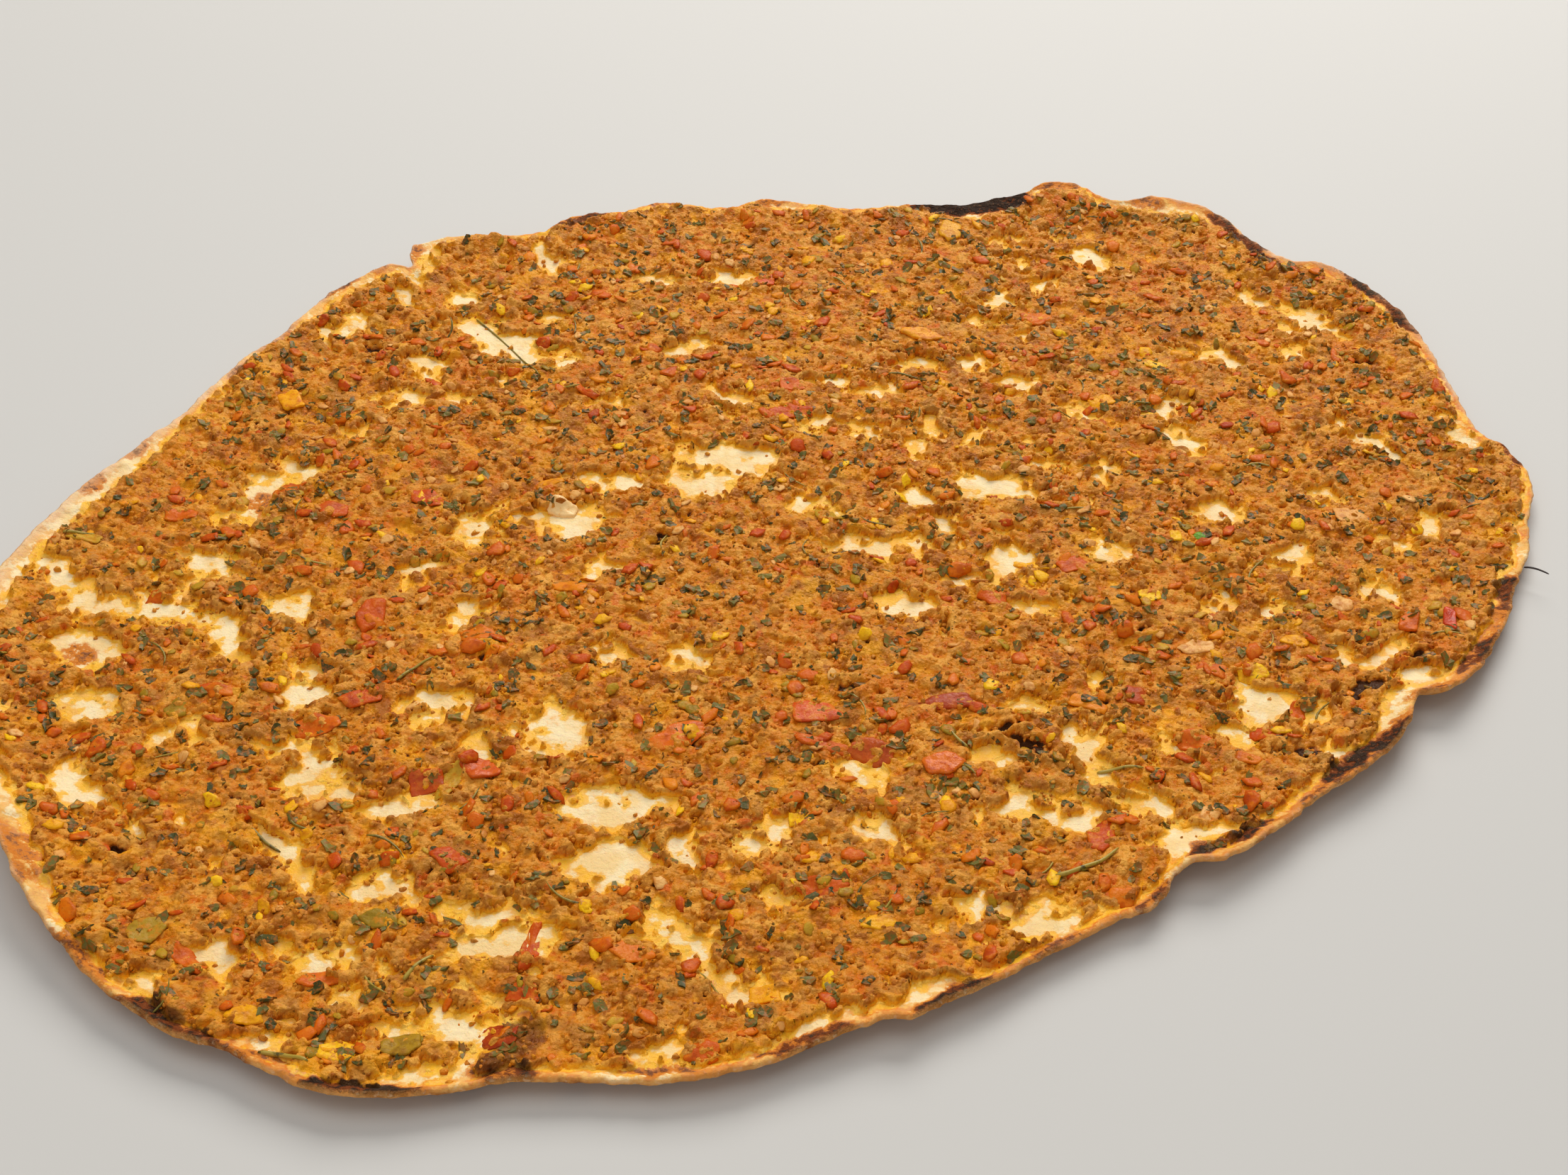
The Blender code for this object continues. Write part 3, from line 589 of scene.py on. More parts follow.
class Finish:
    """A procedural material under construction: its shader, its coordinates and short ways to add nodes."""

    def __init__(self, name, roughness, specular, coat=0, coat_roughness=0.1, subsurface=0, glint=(1, 1, 1)):
        self.material = bpy.data.materials.new(name)
        self.material.use_nodes = True
        self.nodes = self.material.node_tree.nodes
        self.links = self.material.node_tree.links
        self.shader = self.nodes["Principled BSDF"].inputs
        for socket, value in (
            ("Roughness", roughness),
            ("Specular IOR Level", specular),
            ("Specular Tint", (*glint, 1.0)),
            ("Coat Weight", coat),
            ("Coat Roughness", coat_roughness),
            ("Subsurface Weight", subsurface),
            ("Subsurface Radius", (1.0, 0.4, 0.15)),
            ("Subsurface Scale", 1.2 * MM),
        ):
            self.shader[socket].default_value = value
        self.place = self.nodes.new("ShaderNodeTexCoord").outputs["Object"]

    def noise(self, size, detail):
        """Noise with features about `size` mm across."""
        node = self.nodes.new("ShaderNodeTexNoise")
        self.links.new(self.place, node.inputs["Vector"])
        node.inputs["Scale"].default_value = 1 / (size * MM)
        node.inputs["Detail"].default_value = detail
        node.inputs["Roughness"].default_value = 0.6
        return node.outputs["Fac"]

    def granules(self, size, output="Color"):
        """A random colour for each granule about `size` mm across, or the distance from its middle."""
        node = self.nodes.new("ShaderNodeTexVoronoi")
        self.links.new(self.place, node.inputs["Vector"])
        node.inputs["Scale"].default_value = 1 / (size * MM)
        return node.outputs[output]

    def attribute(self, name):
        """A value kept on the mesh's points."""
        node = self.nodes.new("ShaderNodeAttribute")
        node.attribute_name = name
        return node.outputs["Fac"]

    def between(self, value, low, high, to_low=0.0, to_high=1.0):
        """A value spread from one range to another, and held at its ends."""
        node = self.nodes.new("ShaderNodeMapRange")
        node.interpolation_type = "SMOOTHSTEP"
        self.links.new(value, node.inputs["Value"])
        for label, number in (("From Min", low), ("From Max", high), ("To Min", to_low), ("To Max", to_high)):
            node.inputs[label].default_value = number
        return node.outputs["Result"]

    def fed(self, socket, value):
        """Feeds a socket with a link or a plain value."""
        if isinstance(value, bpy.types.NodeSocket):
            self.links.new(value, socket)
        else:
            socket.default_value = (*value, 1.0) if isinstance(value, tuple) else value

    def math(self, operation, a, b):
        """Two links or plain values, added, multiplied or otherwise put together."""
        node = self.nodes.new("ShaderNodeMath")
        node.operation = operation
        self.fed(node.inputs[0], a)
        self.fed(node.inputs[1], b)
        return node.outputs[0]

    def mix(self, a, b, factor, blend="MIX"):
        """Two colours mixed by a factor."""
        node = self.nodes.new("ShaderNodeMix")
        node.data_type = "RGBA"
        node.blend_type = blend
        node.clamp_factor = True
        for label, kind, value in (("Factor", "VALUE", factor), ("A", "RGBA", a), ("B", "RGBA", b)):
            self.fed(next(s for s in node.inputs if s.name == label and s.type == kind), value)
        return next(s for s in node.outputs if s.type == "RGBA")

    def turned(self, colour, chart, by, low, high, share=1.0, blend="MIX"):
        """The colour turned towards a chart's colour as a value rises from low to high."""
        return self.mix(colour, linear(*chart), self.between(by, low, high, 0.0, share), blend)

    def jittered(self, value, by, spread):
        """The value made uneven by a noise."""
        return self.math("ADD", value, self.between(by, 0.3, 0.7, -spread, spread))

    def bump(self, height, distance, strength=1.0, below=None):
        """Bump from a height of 0 to 1 that stands for `distance` mm."""
        node = self.nodes.new("ShaderNodeBump")
        node.inputs["Distance"].default_value = distance * MM
        node.inputs["Strength"].default_value = strength
        self.links.new(height, node.inputs["Height"])
        if below:
            self.links.new(below, node.inputs["Normal"])
        return node.outputs["Normal"]

    def set(self, socket, value):
        """Links one of the shader's sockets."""
        self.links.new(value, self.shader[socket])


def dough_finish():
    """Cream dough: soaked yellow by fat, toasted gold to brown at the rim, charred, and floury below."""
    made = Finish("baked_dough", roughness=0.7, specular=0.22, subsurface=0.12, glint=(1.0, 0.86, 0.7))
    blotch, fine, speck = made.noise(4.0, 4), made.noise(1.2, 3), made.noise(0.5, 2)
    uneven = made.jittered(made.between(blotch, 0.3, 0.7, -0.2, 0.2), fine, 0.16)
    colour = made.turned(linear(252, 230, 182), (246, 212, 148), made.noise(6.0, 4), 0.38, 0.62)
    toast = made.math("ADD", made.attribute("toast"), uneven)
    colour = made.turned(colour, (242, 186, 100), toast, 0.2, 0.45)
    colour = made.turned(colour, (224, 140, 54), toast, 0.48, 0.85)
    colour = made.turned(colour, (168, 88, 30), toast, 0.95, 1.3)
    soak = made.jittered(made.attribute("soak"), fine, 0.18)
    colour = made.turned(colour, (253, 216, 112), soak, 0.2, 0.5, blend="MULTIPLY")
    colour = made.turned(colour, (250, 188, 44), soak, 0.5, 0.85)
    colour = made.turned(colour, (222, 132, 22), soak, 0.88, 1.25)
    burn = made.attribute("scorch")
    scorch = made.math("ADD", burn, made.math("MULTIPLY", uneven, made.between(burn, 0.0, 0.3)))
    colour = made.turned(colour, (212, 124, 34), scorch, 0.06, 0.3)
    colour = made.turned(colour, (124, 60, 22), scorch, 0.36, 0.62)
    colour = made.turned(colour, (44, 28, 20), scorch, 0.66, 0.9)
    ash = made.math("MULTIPLY", made.between(speck, 0.6, 0.7), made.between(scorch, 0.5, 0.9, 0.0, 0.5))
    colour = made.mix(colour, linear(150, 96, 56), ash)
    flour = made.math("ADD", made.attribute("flour"), made.math("MULTIPLY", uneven, 0.8))
    flour = made.math("MULTIPLY", flour, made.between(scorch, 0.3, 0.9, 1.0, 0.15))
    colour = made.mix(colour, linear(236, 198, 158), flour)
    under = made.turned(linear(232, 170, 98), (214, 142, 68), blotch, 0.4, 0.6)
    under = made.turned(under, (158, 94, 46), made.noise(9.0, 4), 0.58, 0.68)
    under = made.turned(under, (240, 208, 168), fine, 0.55, 0.7, 0.5)
    made.set("Base Color", made.mix(colour, under, made.attribute("underside")))
    shine = made.between(soak, 0.3, 0.9, 0.7, 0.42)
    made.set("Roughness", made.math("MAXIMUM", shine, made.between(scorch, 0.3, 0.7, 0.0, 0.9)))
    crackle = made.between(fine, 0.35, 0.65)
    crackle = made.math("MULTIPLY", crackle, made.between(scorch, 0.35, 0.8, 0.28, 1.0))
    made.set("Normal", made.bump(speck, 0.14, 0.8, made.bump(crackle, 0.4, 0.8)))
    return made.material


points, faces = build_bread()
x, y = points[:, 0], points[:, 1]
depth = at_bearing(bread_radius, x, y) - np.hypot(x, y)
index = np.arange(len(points))
lower_rings = len(UNDER_INSETS) * BEARINGS
upper_rings = (len(UNDER_INSETS) + 1 + len(RIM_INSETS)) * BEARINGS
middle_height = (bread_over.at(x, y) + bread_under.at(x, y)) / 2
underside = ((index < lower_rings) | ((index >= upper_rings) & (points[:, 2] < middle_height))).astype(float)
underside[lower_rings : lower_rings + BEARINGS] = 0.6
bread = new_object(
    "bread",
    points,
    faces,
    dough_finish(),
    {
        "toast": eased(1.1 - depth / 7) * lip_at(x, y, 3) * (0.8 + 0.5 * noise(x, y, 14.0, 43, 2)),
        "flour": eased(1.25 - depth / lip_at(x, y, 4)) * (0.75 + 0.4 * noise(x, y, 6.0, 44, 2)),
        "scorch": scorch.at(x, y),
        "soak": soak.at(x, y) * (underside < 0.5),
        "underside": underside,
    },
)
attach(bread, "root")
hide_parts("flatbread")

# ---------------------------------------------------------------- the spread of mince
# Minced lamb or beef worked to a paste with tomato, pepper, onion and parsley, and baked on. It is one
# crumbly bed of granules. The bed is made in strips side by side, each a closed mesh.

STRIPS = 5
BED_SINK = 0.7  # how far below the dough's upper surface the bed's hidden underside lies
BED_MARGIN = 1.2  # how far the bed runs on, hidden in the dough, past the spread's edge
BED_EDGE = 1.7  # how far from the dough's edge it ends at the least
BED_UNDER_STEP = 16  # grid steps between the points of the bed's underside

crumble = height - smoothed(height, 14)  # how far each point stands over or under what lies round it


def mince_finish():
    """Cooked mince: tan crumbs in an orange, fat-soaked paste, redder or browner from place to place, with
    painted highlight on its crests and painted shade in its creases, pits and gaps.
    """
    made = Finish("cooked_mince", roughness=0.6, specular=0.2, glint=(1.0, 0.75, 0.5))
    blotch, patch = made.noise(3.2, 4), made.noise(9.0, 4)
    fine, grain = made.noise(0.4, 2), made.noise(0.9, 3)
    tint = made.nodes.new("ShaderNodeSeparateColor")
    made.links.new(made.granules(1.1), tint.inputs[0])
    brown, warm = tint.outputs["Red"], tint.outputs["Green"]
    thin, crease_fat_and_shade, crumb = made.attribute("thin"), made.attribute("crease_fat_and_shade"), made.attribute("crumb")
    crest_tan_and_highlight, pale = made.jittered(made.attribute("crest_tan_and_highlight"), blotch, 0.35), made.jittered(thin, blotch, 0.25)
    burnt = made.attribute("burnt")
    # Crests turn tan: partly the drier meat's own colour, partly painted highlight where they stand up into
    # the light.
    colour = made.turned(linear(208, 106, 0), (214, 128, 18), crest_tan_and_highlight, 0.05, 0.45)
    colour = made.turned(colour, (222, 148, 54), crest_tan_and_highlight, 0.45, 1.0)
    colour = made.turned(colour, (216, 98, 8), patch, 0.54, 0.68, 0.5)
    colour = made.turned(colour, (180, 118, 44), made.noise(6.0, 3), 0.52, 0.64, 0.75)
    colour = made.mix(colour, linear(160, 84, 14), made.between(crumb, 0.22, 0.42, 0.85, 0.0))
    colour = made.turned(colour, (240, 172, 70), crumb, 0.62, 0.82, 0.7)
    colour = made.turned(colour, (166, 84, 20), brown, 0.7, 0.95, 0.3)
    colour = made.turned(colour, (238, 176, 84), warm, 0.84, 0.97, 0.25)
    colour = made.turned(colour, (210, 80, 14), made.noise(4.2, 2), 0.62, 0.7, 0.6)
    colour = made.turned(colour, (240, 164, 20), made.noise(7.0, 3), 0.54, 0.68, 0.6)
    colour = made.turned(colour, (250, 172, 26), thin, 0.24, 0.74, 0.82)
    colour = made.turned(colour, (254, 208, 92), pale, 0.75, 1.1, 0.8)
    # Painted shade in creases, pits and gaps: a deeper orange-brown, partly where fat pools, then near black
    # deep down.
    colour = made.turned(colour, (138, 62, 4), crease_fat_and_shade, 0.3, 1.0, 0.82)
    colour = made.turned(colour, (44, 18, 6), crease_fat_and_shade, 0.95, 1.5, 0.93)
    colour = made.turned(colour, (168, 90, 22), made.attribute("tint"), 0.7, 0.95, 0.35)
    # Small specks: olive herb dust in places, and elsewhere dark brown painted shade in tiny pits, which the
    # bump also sinks.
    speck = made.between(made.granules(1.3, "Distance"), 0.1, 0.2, 1.0, 0.0)
    speck = made.math("MULTIPLY", speck, made.between(made.noise(2.2, 2), 0.48, 0.58))
    speck = made.math("MULTIPLY", speck, made.between(thin, 0.3, 0.7, 1.0, 0.0))
    herb_and_pit_shade = made.turned(linear(112, 56, 8), (96, 80, 30), patch, 0.45, 0.55)
    colour = made.mix(colour, herb_and_pit_shade, made.math("MULTIPLY", speck, 0.6))
    colour = made.turned(colour, (92, 42, 16), burnt, 0.25, 0.6, 0.75)
    colour = made.turned(colour, (44, 24, 14), made.jittered(burnt, blotch, 0.2), 0.6, 0.9, 0.9)
    made.set("Base Color", colour)
    made.set("Roughness", made.between(fine, 0.3, 0.7, 0.28, 0.66))
    pores = made.granules(0.8, "Distance")
    rough = made.math("SUBTRACT", made.math("MULTIPLY", grain, 1.2), made.math("MULTIPLY", pores, 0.9))
    rough = made.math("ADD", rough, made.math("MULTIPLY", fine, 0.6))
    made.set("Normal", made.bump(made.math("SUBTRACT", rough, speck), 0.3, 1.0))
    return made.material


def bed_strip(first, last, region):
    """A closed strip of the bed between two columns of the grid.

    It gives the points in mm, the faces, the grid points used, which of them have a point of the underside
    below them, and the edges round the top.
    """
    cell = np.zeros_like(region)
    cell[first:last] = region[first:last]
    i, j = np.nonzero(cell)
    number = np.full((cell.shape[0] + 1, cell.shape[1] + 1), -1)
    corners = ((0, 0), (1, 0), (1, 1), (0, 1))
    for di, dj in corners:
        number[i + di, j + dj] = 0
    used = np.nonzero(number == 0)
    number[used] = np.arange(len(used[0]))
    quads = np.stack([number[i + di, j + dj] for di, dj in corners], axis=-1)
    sides = []
    for di, dj, a, b in ((0, -1, 0, 1), (1, 0, 1, 2), (0, 1, 2, 3), (-1, 0, 3, 0)):
        open_side = ~cell[np.clip(i + di, 0, len(cell) - 1), j + dj] | (i + di < 0)
        sides.append(quads[open_side][:, [a, b]])
    sides = np.concatenate(sides)
    rim, place = np.unique(sides, return_inverse=True)
    sides_in_rim = place.reshape(sides.shape)
    gi, gj = used
    inner = (gi % BED_UNDER_STEP == 0) & (gj % BED_UNDER_STEP == 0)
    inner[rim] = False
    under = np.concatenate((rim, np.nonzero(inner)[0]))
    plan = [Vector(p) for p in np.stack((gi[under], gj[under]), axis=-1).astype(float).tolist()]
    made = delaunay_2d_cdt(plan, sides_in_rim.tolist(), [], KEEP_INSIDE, SAME_POINT)
    assert len(made[0]) == len(plan)
    top = np.stack((field.x[used], field.y[used], bed_top[used]), axis=-1)
    low = np.stack((field.x[used], field.y[used], bed_under[used]), axis=-1)[under]
    count = len(top)
    walls = np.concatenate((sides[:, ::-1], count + sides_in_rim), axis=1)
    below = count + np.array(made[2])[:, ::-1]
    faces = quads.tolist() + walls.tolist() + below.tolist()
    return np.concatenate((top, low)), faces, used, under, sides


def keep_sharp(obj, pairs):
    """Keeps the shading of the faces on either side of these edges apart."""
    mesh = obj.data
    ends = np.empty(len(mesh.edges) * 2, np.int64)
    mesh.edges.foreach_get("vertices", ends)
    ends = np.sort(ends.reshape(-1, 2), axis=1)
    pairs = np.sort(pairs, axis=1)
    count = len(mesh.vertices)
    sharp = np.isin(ends[:, 0] * count + ends[:, 1], pairs[:, 0] * count + pairs[:, 1])
    mesh.attributes.new("sharp_edge", "BOOLEAN", "EDGE").data.foreach_set("value", sharp)


bread_surface = upper_height(field.x, field.y, np.maximum(inset, 0))
bed_top = bread_surface + height
bed_under = bread_surface - BED_SINK
region_points = (inset - rim_margin > -BED_MARGIN) & (inset > BED_EDGE)
region = region_points[:-1] & region_points[1:]
region = region[:, :-1] & region[:, 1:]
share = np.cumsum(region.sum(axis=1)) / region.sum()
cuts = [0, *(int(np.searchsorted(share, k / STRIPS)) for k in range(1, STRIPS)), len(region)]
bed_looks = {
    "thin": eased(1 - np.maximum(smoothed(height, 1), 0) / 1.2),
    # Painted shade: marks creases lower than the crumbs round them, the floors of the gaps and the pits, to
    # be darkened.
    "crease_fat_and_shade": eased(-crumble / 1.1) + 1.6 * eased(0.9 - gap) + pits * (clump > 0.5),
    "burnt": scorch.values,
    # Painted highlight, with the drier meat's tan: marks points that stand above what lies round them.
    "crest_tan_and_highlight": eased(0.5 + crumble / 1.4),
    "crumb": crumb_tint,
}
mince = mince_finish()
for k in range(STRIPS):
    points, faces, used, under, sides = bed_strip(cuts[k], cuts[k + 1], region)
    values = {label: np.concatenate((v[used], v[used][under])) for label, v in bed_looks.items()}
    strip = new_object(f"mince_bed_{k + 1}", points, faces, mince, values)
    keep_sharp(strip, sides)
    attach(strip, "root")
    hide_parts("mince_spread")


# ---------------------------------------------------------------- crumbs of mince
# Loose granules of the same mince, of every size from a grain of sand to a small pea, that stand on the
# bed and along its torn edges. They are scattered on a copy of the bed's upper surface.

HOST_STEP = 2  # grid steps between the points of the surface that things are scattered on
HOST_SMOOTHING = 4  # passes that level it, so that flat things lie along the clumps
SCATTER_EDGE = 3.0  # nothing is scattered nearer the edge of the dough than this
CRUMB_FLATNESS = 0.75
LOWEST = 0.05  # nothing that is scattered reaches below this height over the table


def host_surface(least, most):
    """The upper surface where the cover lies in this range, with its cover, to scatter things on."""
    pick = slice(None, None, HOST_STEP)
    gx, gy = field.x[pick, pick], field.y[pick, pick]
    gz = smoothed(bed_top, HOST_SMOOTHING)[pick, pick]
    covered = np.where(inset > rim_margin, np.minimum(cover, inset - SCATTER_EDGE), -9.0)[pick, pick]
    keep = (covered > least) & (covered < most)
    number = np.full(gx.shape, -1)
    number[keep] = np.arange(keep.sum())
    quads = np.stack((number[:-1, :-1], number[1:, :-1], number[1:, 1:], number[:-1, 1:]), axis=-1)
    quads = quads.reshape(-1, 4)
    quads = quads[(quads >= 0).all(axis=1)]
    points = np.stack((gx[keep], gy[keep], gz[keep]), axis=-1)
    rich = np.clip(1 + 1.3 * noise(gx, gy, 9.0, 61, 2), 0.2, 2.2)[keep]
    values = {"covered": np.clip(covered[keep], -1, 4), "rich": rich}
    # Loose crumbs take a crest's value, so they get its painted highlight and tan.
    for label, value in (("crumb", 0.5), ("crest_tan_and_highlight", 0.7)):
        values[label] = np.full(len(points), value)
    return new_object("host", points, quads.tolist(), mince, values)


host = host_surface(-0.6, 99.0)
bare_host = host_surface(-6.0, -0.2)


def lump_shape(name, seed):
    """A rough granule of about 1 mm: a coarse ball pushed in and out."""
    generator = np.random.default_rng(seed)
    made = bmesh.new()
    bmesh.ops.create_icosphere(made, subdivisions=1, radius=0.5 * MM)
    for vertex in made.verts:
        vertex.co *= generator.uniform(0.6, 1.3)
        vertex.co.z *= CRUMB_FLATNESS
    return template(name, made)


def template(name, made):
    """An object out of the scene, to be copied many times."""
    mesh = bpy.data.meshes.new(name)
    bmesh.ops.recalc_face_normals(made, faces=made.faces)
    made.to_mesh(mesh)
    made.free()
    mesh.shade_smooth()
    return bpy.data.objects.new(name, mesh)


def scattered(name, shapes, material, per_cm2, smallest, largest, sink, tilt, seed, covered=(0, 1), on=host):
    """Copies of the shapes scattered over the spread by Geometry Nodes, as one plain mesh object.

    Sizes are in mm, per_cm2 is their number, and covered is the range of cover over which they come in.
    """
    kinds = bpy.data.collections.new(name + "_shapes")
    for shape in shapes:
        kinds.objects.link(shape)
    tree = bpy.data.node_groups.new(name, "GeometryNodeTree")
    ports = tree.interface
    ports.new_socket("Surface", in_out="INPUT", socket_type="NodeSocketGeometry")
    for label, value in (
        ("Per Square Metre", per_cm2 * 1e4),
        ("Smallest", smallest),
        ("Largest", largest),
        ("Sink", sink * MM),
        ("Tilt", math.radians(tilt)),
        ("Cover Start", covered[0]),
        ("Cover End", covered[1]),
    ):
        ports.new_socket(label, in_out="INPUT", socket_type="NodeSocketFloat").default_value = value
    ports.new_socket("Seed", in_out="INPUT", socket_type="NodeSocketInt").default_value = seed
    ports.new_socket("Scattered", in_out="OUTPUT", socket_type="NodeSocketGeometry")

    def add(kind, fed=(), **settings):
        """A node with its settings, and its inputs fed by links or plain values."""
        node = tree.nodes.new(kind)
        for label, value in settings.items():
            setattr(node, label, value)
        for socket, value in dict(fed).items():
            if isinstance(value, bpy.types.NodeSocket):
                tree.links.new(value, node.inputs[socket])
            else:
                node.inputs[socket].default_value = value
        return node

    given = add("NodeGroupInput").outputs

    def read(label):
        return add("GeometryNodeInputNamedAttribute", {"Name": label}, data_type="FLOAT").outputs["Attribute"]

    def times(a, b):
        return add("ShaderNodeMath", {0: a, 1: b}, operation="MULTIPLY").outputs[0]

    def random(low, high, seed_step):
        step = add("FunctionNodeIntegerMath", {0: given["Seed"], 1: seed_step}, operation="ADD").outputs[0]
        node = add("FunctionNodeRandomValue", {"Seed": step}, data_type="FLOAT")
        for label, value in (("Min", low), ("Max", high)):
            place = next(s for s in node.inputs if s.enabled and s.name == label)
            if isinstance(value, bpy.types.NodeSocket):
                tree.links.new(value, place)
            else:
                place.default_value = value
        return next(s for s in node.outputs if s.enabled)

    ends = {"Value": read("covered"), "From Min": given["Cover Start"], "From Max": given["Cover End"]}
    clustered = times(add("ShaderNodeMapRange", ends).outputs["Result"], read("rich"))
    amount = {"Mesh": given["Surface"], "Seed": given["Seed"]}
    amount["Density"] = times(clustered, given["Per Square Metre"])
    places = add("GeometryNodeDistributePointsOnFaces", amount, distribute_method="RANDOM").outputs
    tint = {"Name": "tint", "Geometry": places["Points"], "Value": random(0.0, 1.0, 7)}
    tinted = add("GeometryNodeStoreNamedAttribute", tint, data_type="FLOAT", domain="POINT")
    shapes_in = add("GeometryNodeCollectionInfo", {"Collection": kinds, "Separate Children": True})
    copies = {"Points": tinted.outputs["Geometry"], "Instance": shapes_in.outputs["Instances"]}
    copies.update({"Pick Instance": True, "Rotation": places["Rotation"]})
    copies["Scale"] = random(given["Smallest"], given["Largest"], 1)
    laid = add("GeometryNodeInstanceOnPoints", copies).outputs["Instances"]
    other_way = times(given["Tilt"], -1.0)
    turns = {"X": random(other_way, given["Tilt"], 2), "Y": random(other_way, given["Tilt"], 3)}
    turn = add("ShaderNodeCombineXYZ", {**turns, "Z": random(0.0, math.tau, 4)}).outputs[0]
    tilted = add("GeometryNodeRotateInstances", {"Instances": laid, "Rotation": turn}).outputs["Instances"]
    down = add("ShaderNodeCombineXYZ", {"Z": times(given["Sink"], -1.0)}).outputs[0]
    sunk = {"Instances": tilted, "Translation": down, "Local Space": True}
    lowered = add("GeometryNodeTranslateInstances", sunk).outputs["Instances"]
    real = add("GeometryNodeRealizeInstances", {"Geometry": lowered}).outputs["Geometry"]
    finished = add("GeometryNodeSetMaterial", {"Geometry": real, "Material": material}).outputs["Geometry"]
    add("NodeGroupOutput", {"Scattered": finished})

    modifier = on.modifiers.new(name, "NODES")
    modifier.node_group = tree
    depsgraph = bpy.context.evaluated_depsgraph_get()
    mesh = bpy.data.meshes.new_from_object(on.evaluated_get(depsgraph), depsgraph=depsgraph)
    on.modifiers.remove(modifier)
    corners = np.empty(len(mesh.vertices) * 3)
    mesh.vertices.foreach_get("co", corners)
    corners[2::3] = np.maximum(corners[2::3], LOWEST * MM)
    mesh.vertices.foreach_set("co", corners)
    mesh.name = name
    mesh.shade_smooth()
    obj = bpy.data.objects.new(name, mesh)
    scene.collection.objects.link(obj)
    bpy.data.collections.remove(kinds)
    return obj


crumb_shapes = [lump_shape(f"crumb_{k}", 70 + k) for k in range(5)]
CRUMBS = (
    # name, number per square centimetre, smallest, largest, sink, seed, range of cover, surface
    ("mince_crumbs", 13.0, 0.5, 1.7, 0.02, 71, (-0.2, 0.6), host),
    ("mince_margin_crumbs", 32.0, 0.4, 1.2, -0.05, 72, (2.2, 0.5), host),
    ("mince_loose_crumbs", 5.0, 0.5, 1.9, -0.5, 73, (1.0, 0.0), bare_host),
)
ANY_WAY = 180  # degrees
for name, per_cm2, smallest, largest, sink, seed, covered, on in CRUMBS:
    size = smallest, largest
    piece = scattered(name, crumb_shapes, mince, per_cm2, *size, sink, ANY_WAY, seed, covered, on)
    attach(piece, "root")
    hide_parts("mince_spread")

# ---------------------------------------------------------------- parsley
# Flat-leaf parsley chopped small and baked into the mince: dark, shrunken, curled scraps with a wet shine,
# a dust of smaller flecks between them, and lengths of its thin stalks.

PARSLEY_THICKNESS = 0.14
FLECK_THICKNESS = 0.25
CUP = 0.3  # how strongly a scrap is cupped
PARSLEY_SINK = -0.02


def skin(made, loops):
    """Joins each loop of points to the next with a band of faces."""
    for low, high in zip(loops, loops[1:]):
        for k in range(len(low)):
            after = (k + 1) % len(low)
            made.faces.new((low[k], low[after], high[after], high[k]))


def scrap_shape(name, corners, seed, thickness, narrowness, crumple=0.12):
    """A flat scrap about 1 mm long: an uneven outline, crumpled and cupped, closed by a thin edge."""
    generator = np.random.default_rng(seed)
    made = bmesh.new()
    turns = (np.arange(corners) + generator.uniform(-0.3, 0.3, corners)) / corners * math.tau
    reach = 0.5 * generator.uniform(0.55, 1.15, corners)
    x, y = reach * np.cos(turns), narrowness * reach * np.sin(turns)
    z = CUP * (x**2 - y**2) + generator.uniform(-crumple, crumple, corners)
    hub = generator.uniform(-0.12, 0.12, 3)
    sheets = []
    for level in (-0.5, 0.5):
        lift = level * thickness
        rim = [made.verts.new(Vector((px, py, pz + lift)) * MM) for px, py, pz in zip(x, y, z)]
        middle = made.verts.new(Vector((hub[0], hub[1], hub[2] * crumple * 6 + lift)) * MM)
        for k in range(corners):
            made.faces.new((rim[k], rim[(k + 1) % corners], middle))
        sheets.append(rim)
    skin(made, sheets)
    return template(name, made)


def parsley_finish():
    """Baked parsley: blackish green with some olive scraps, and shiny with fat."""
    made = Finish("baked_parsley", 0.5, specular=0.3, coat=0.05, coat_roughness=0.3, glint=(1, 0.9, 0.75))
    tint = made.attribute("tint")
    colour = made.turned(linear(66, 68, 26), (110, 104, 40), tint, 0.1, 0.7)
    colour = made.turned(colour, (130, 114, 34), tint, 0.8, 0.98)
    made.set("Base Color", made.turned(colour, (156, 90, 22), made.noise(0.9, 3), 0.45, 0.6, 0.85))
    made.set("Normal", made.bump(made.noise(0.45, 2), 0.12, 0.8))
    return made.material


parsley = parsley_finish()
leaf_shapes = [scrap_shape(f"leaf_{k}", 9, 80 + k, PARSLEY_THICKNESS, 0.45 + 0.06 * k) for k in range(6)]
fleck_shapes = [scrap_shape(f"fleck_{k}", 5, 90 + k, FLECK_THICKNESS, 0.6, 0.15) for k in range(4)]
for name, shapes, per_cm2, smallest, largest, tilt, seed in (
    ("parsley_leaves", leaf_shapes, 3.9, 1.6, 4.2, 15, 81),
    ("parsley_flecks", fleck_shapes, 1.6, 0.7, 1.5, 50, 91),
):
    piece = scattered(name, shapes, parsley, per_cm2, smallest, largest, PARSLEY_SINK, tilt, seed)
    piece.data.shade_flat()
    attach(piece, "root")
    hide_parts("mince_spread")


SHORT_LENGTH, SHORT_RADIUS = 8, 0.27  # of a scattered length of stalk, before it is scaled
SHORT_STEPS, SHORT_SIDES = 6, 6


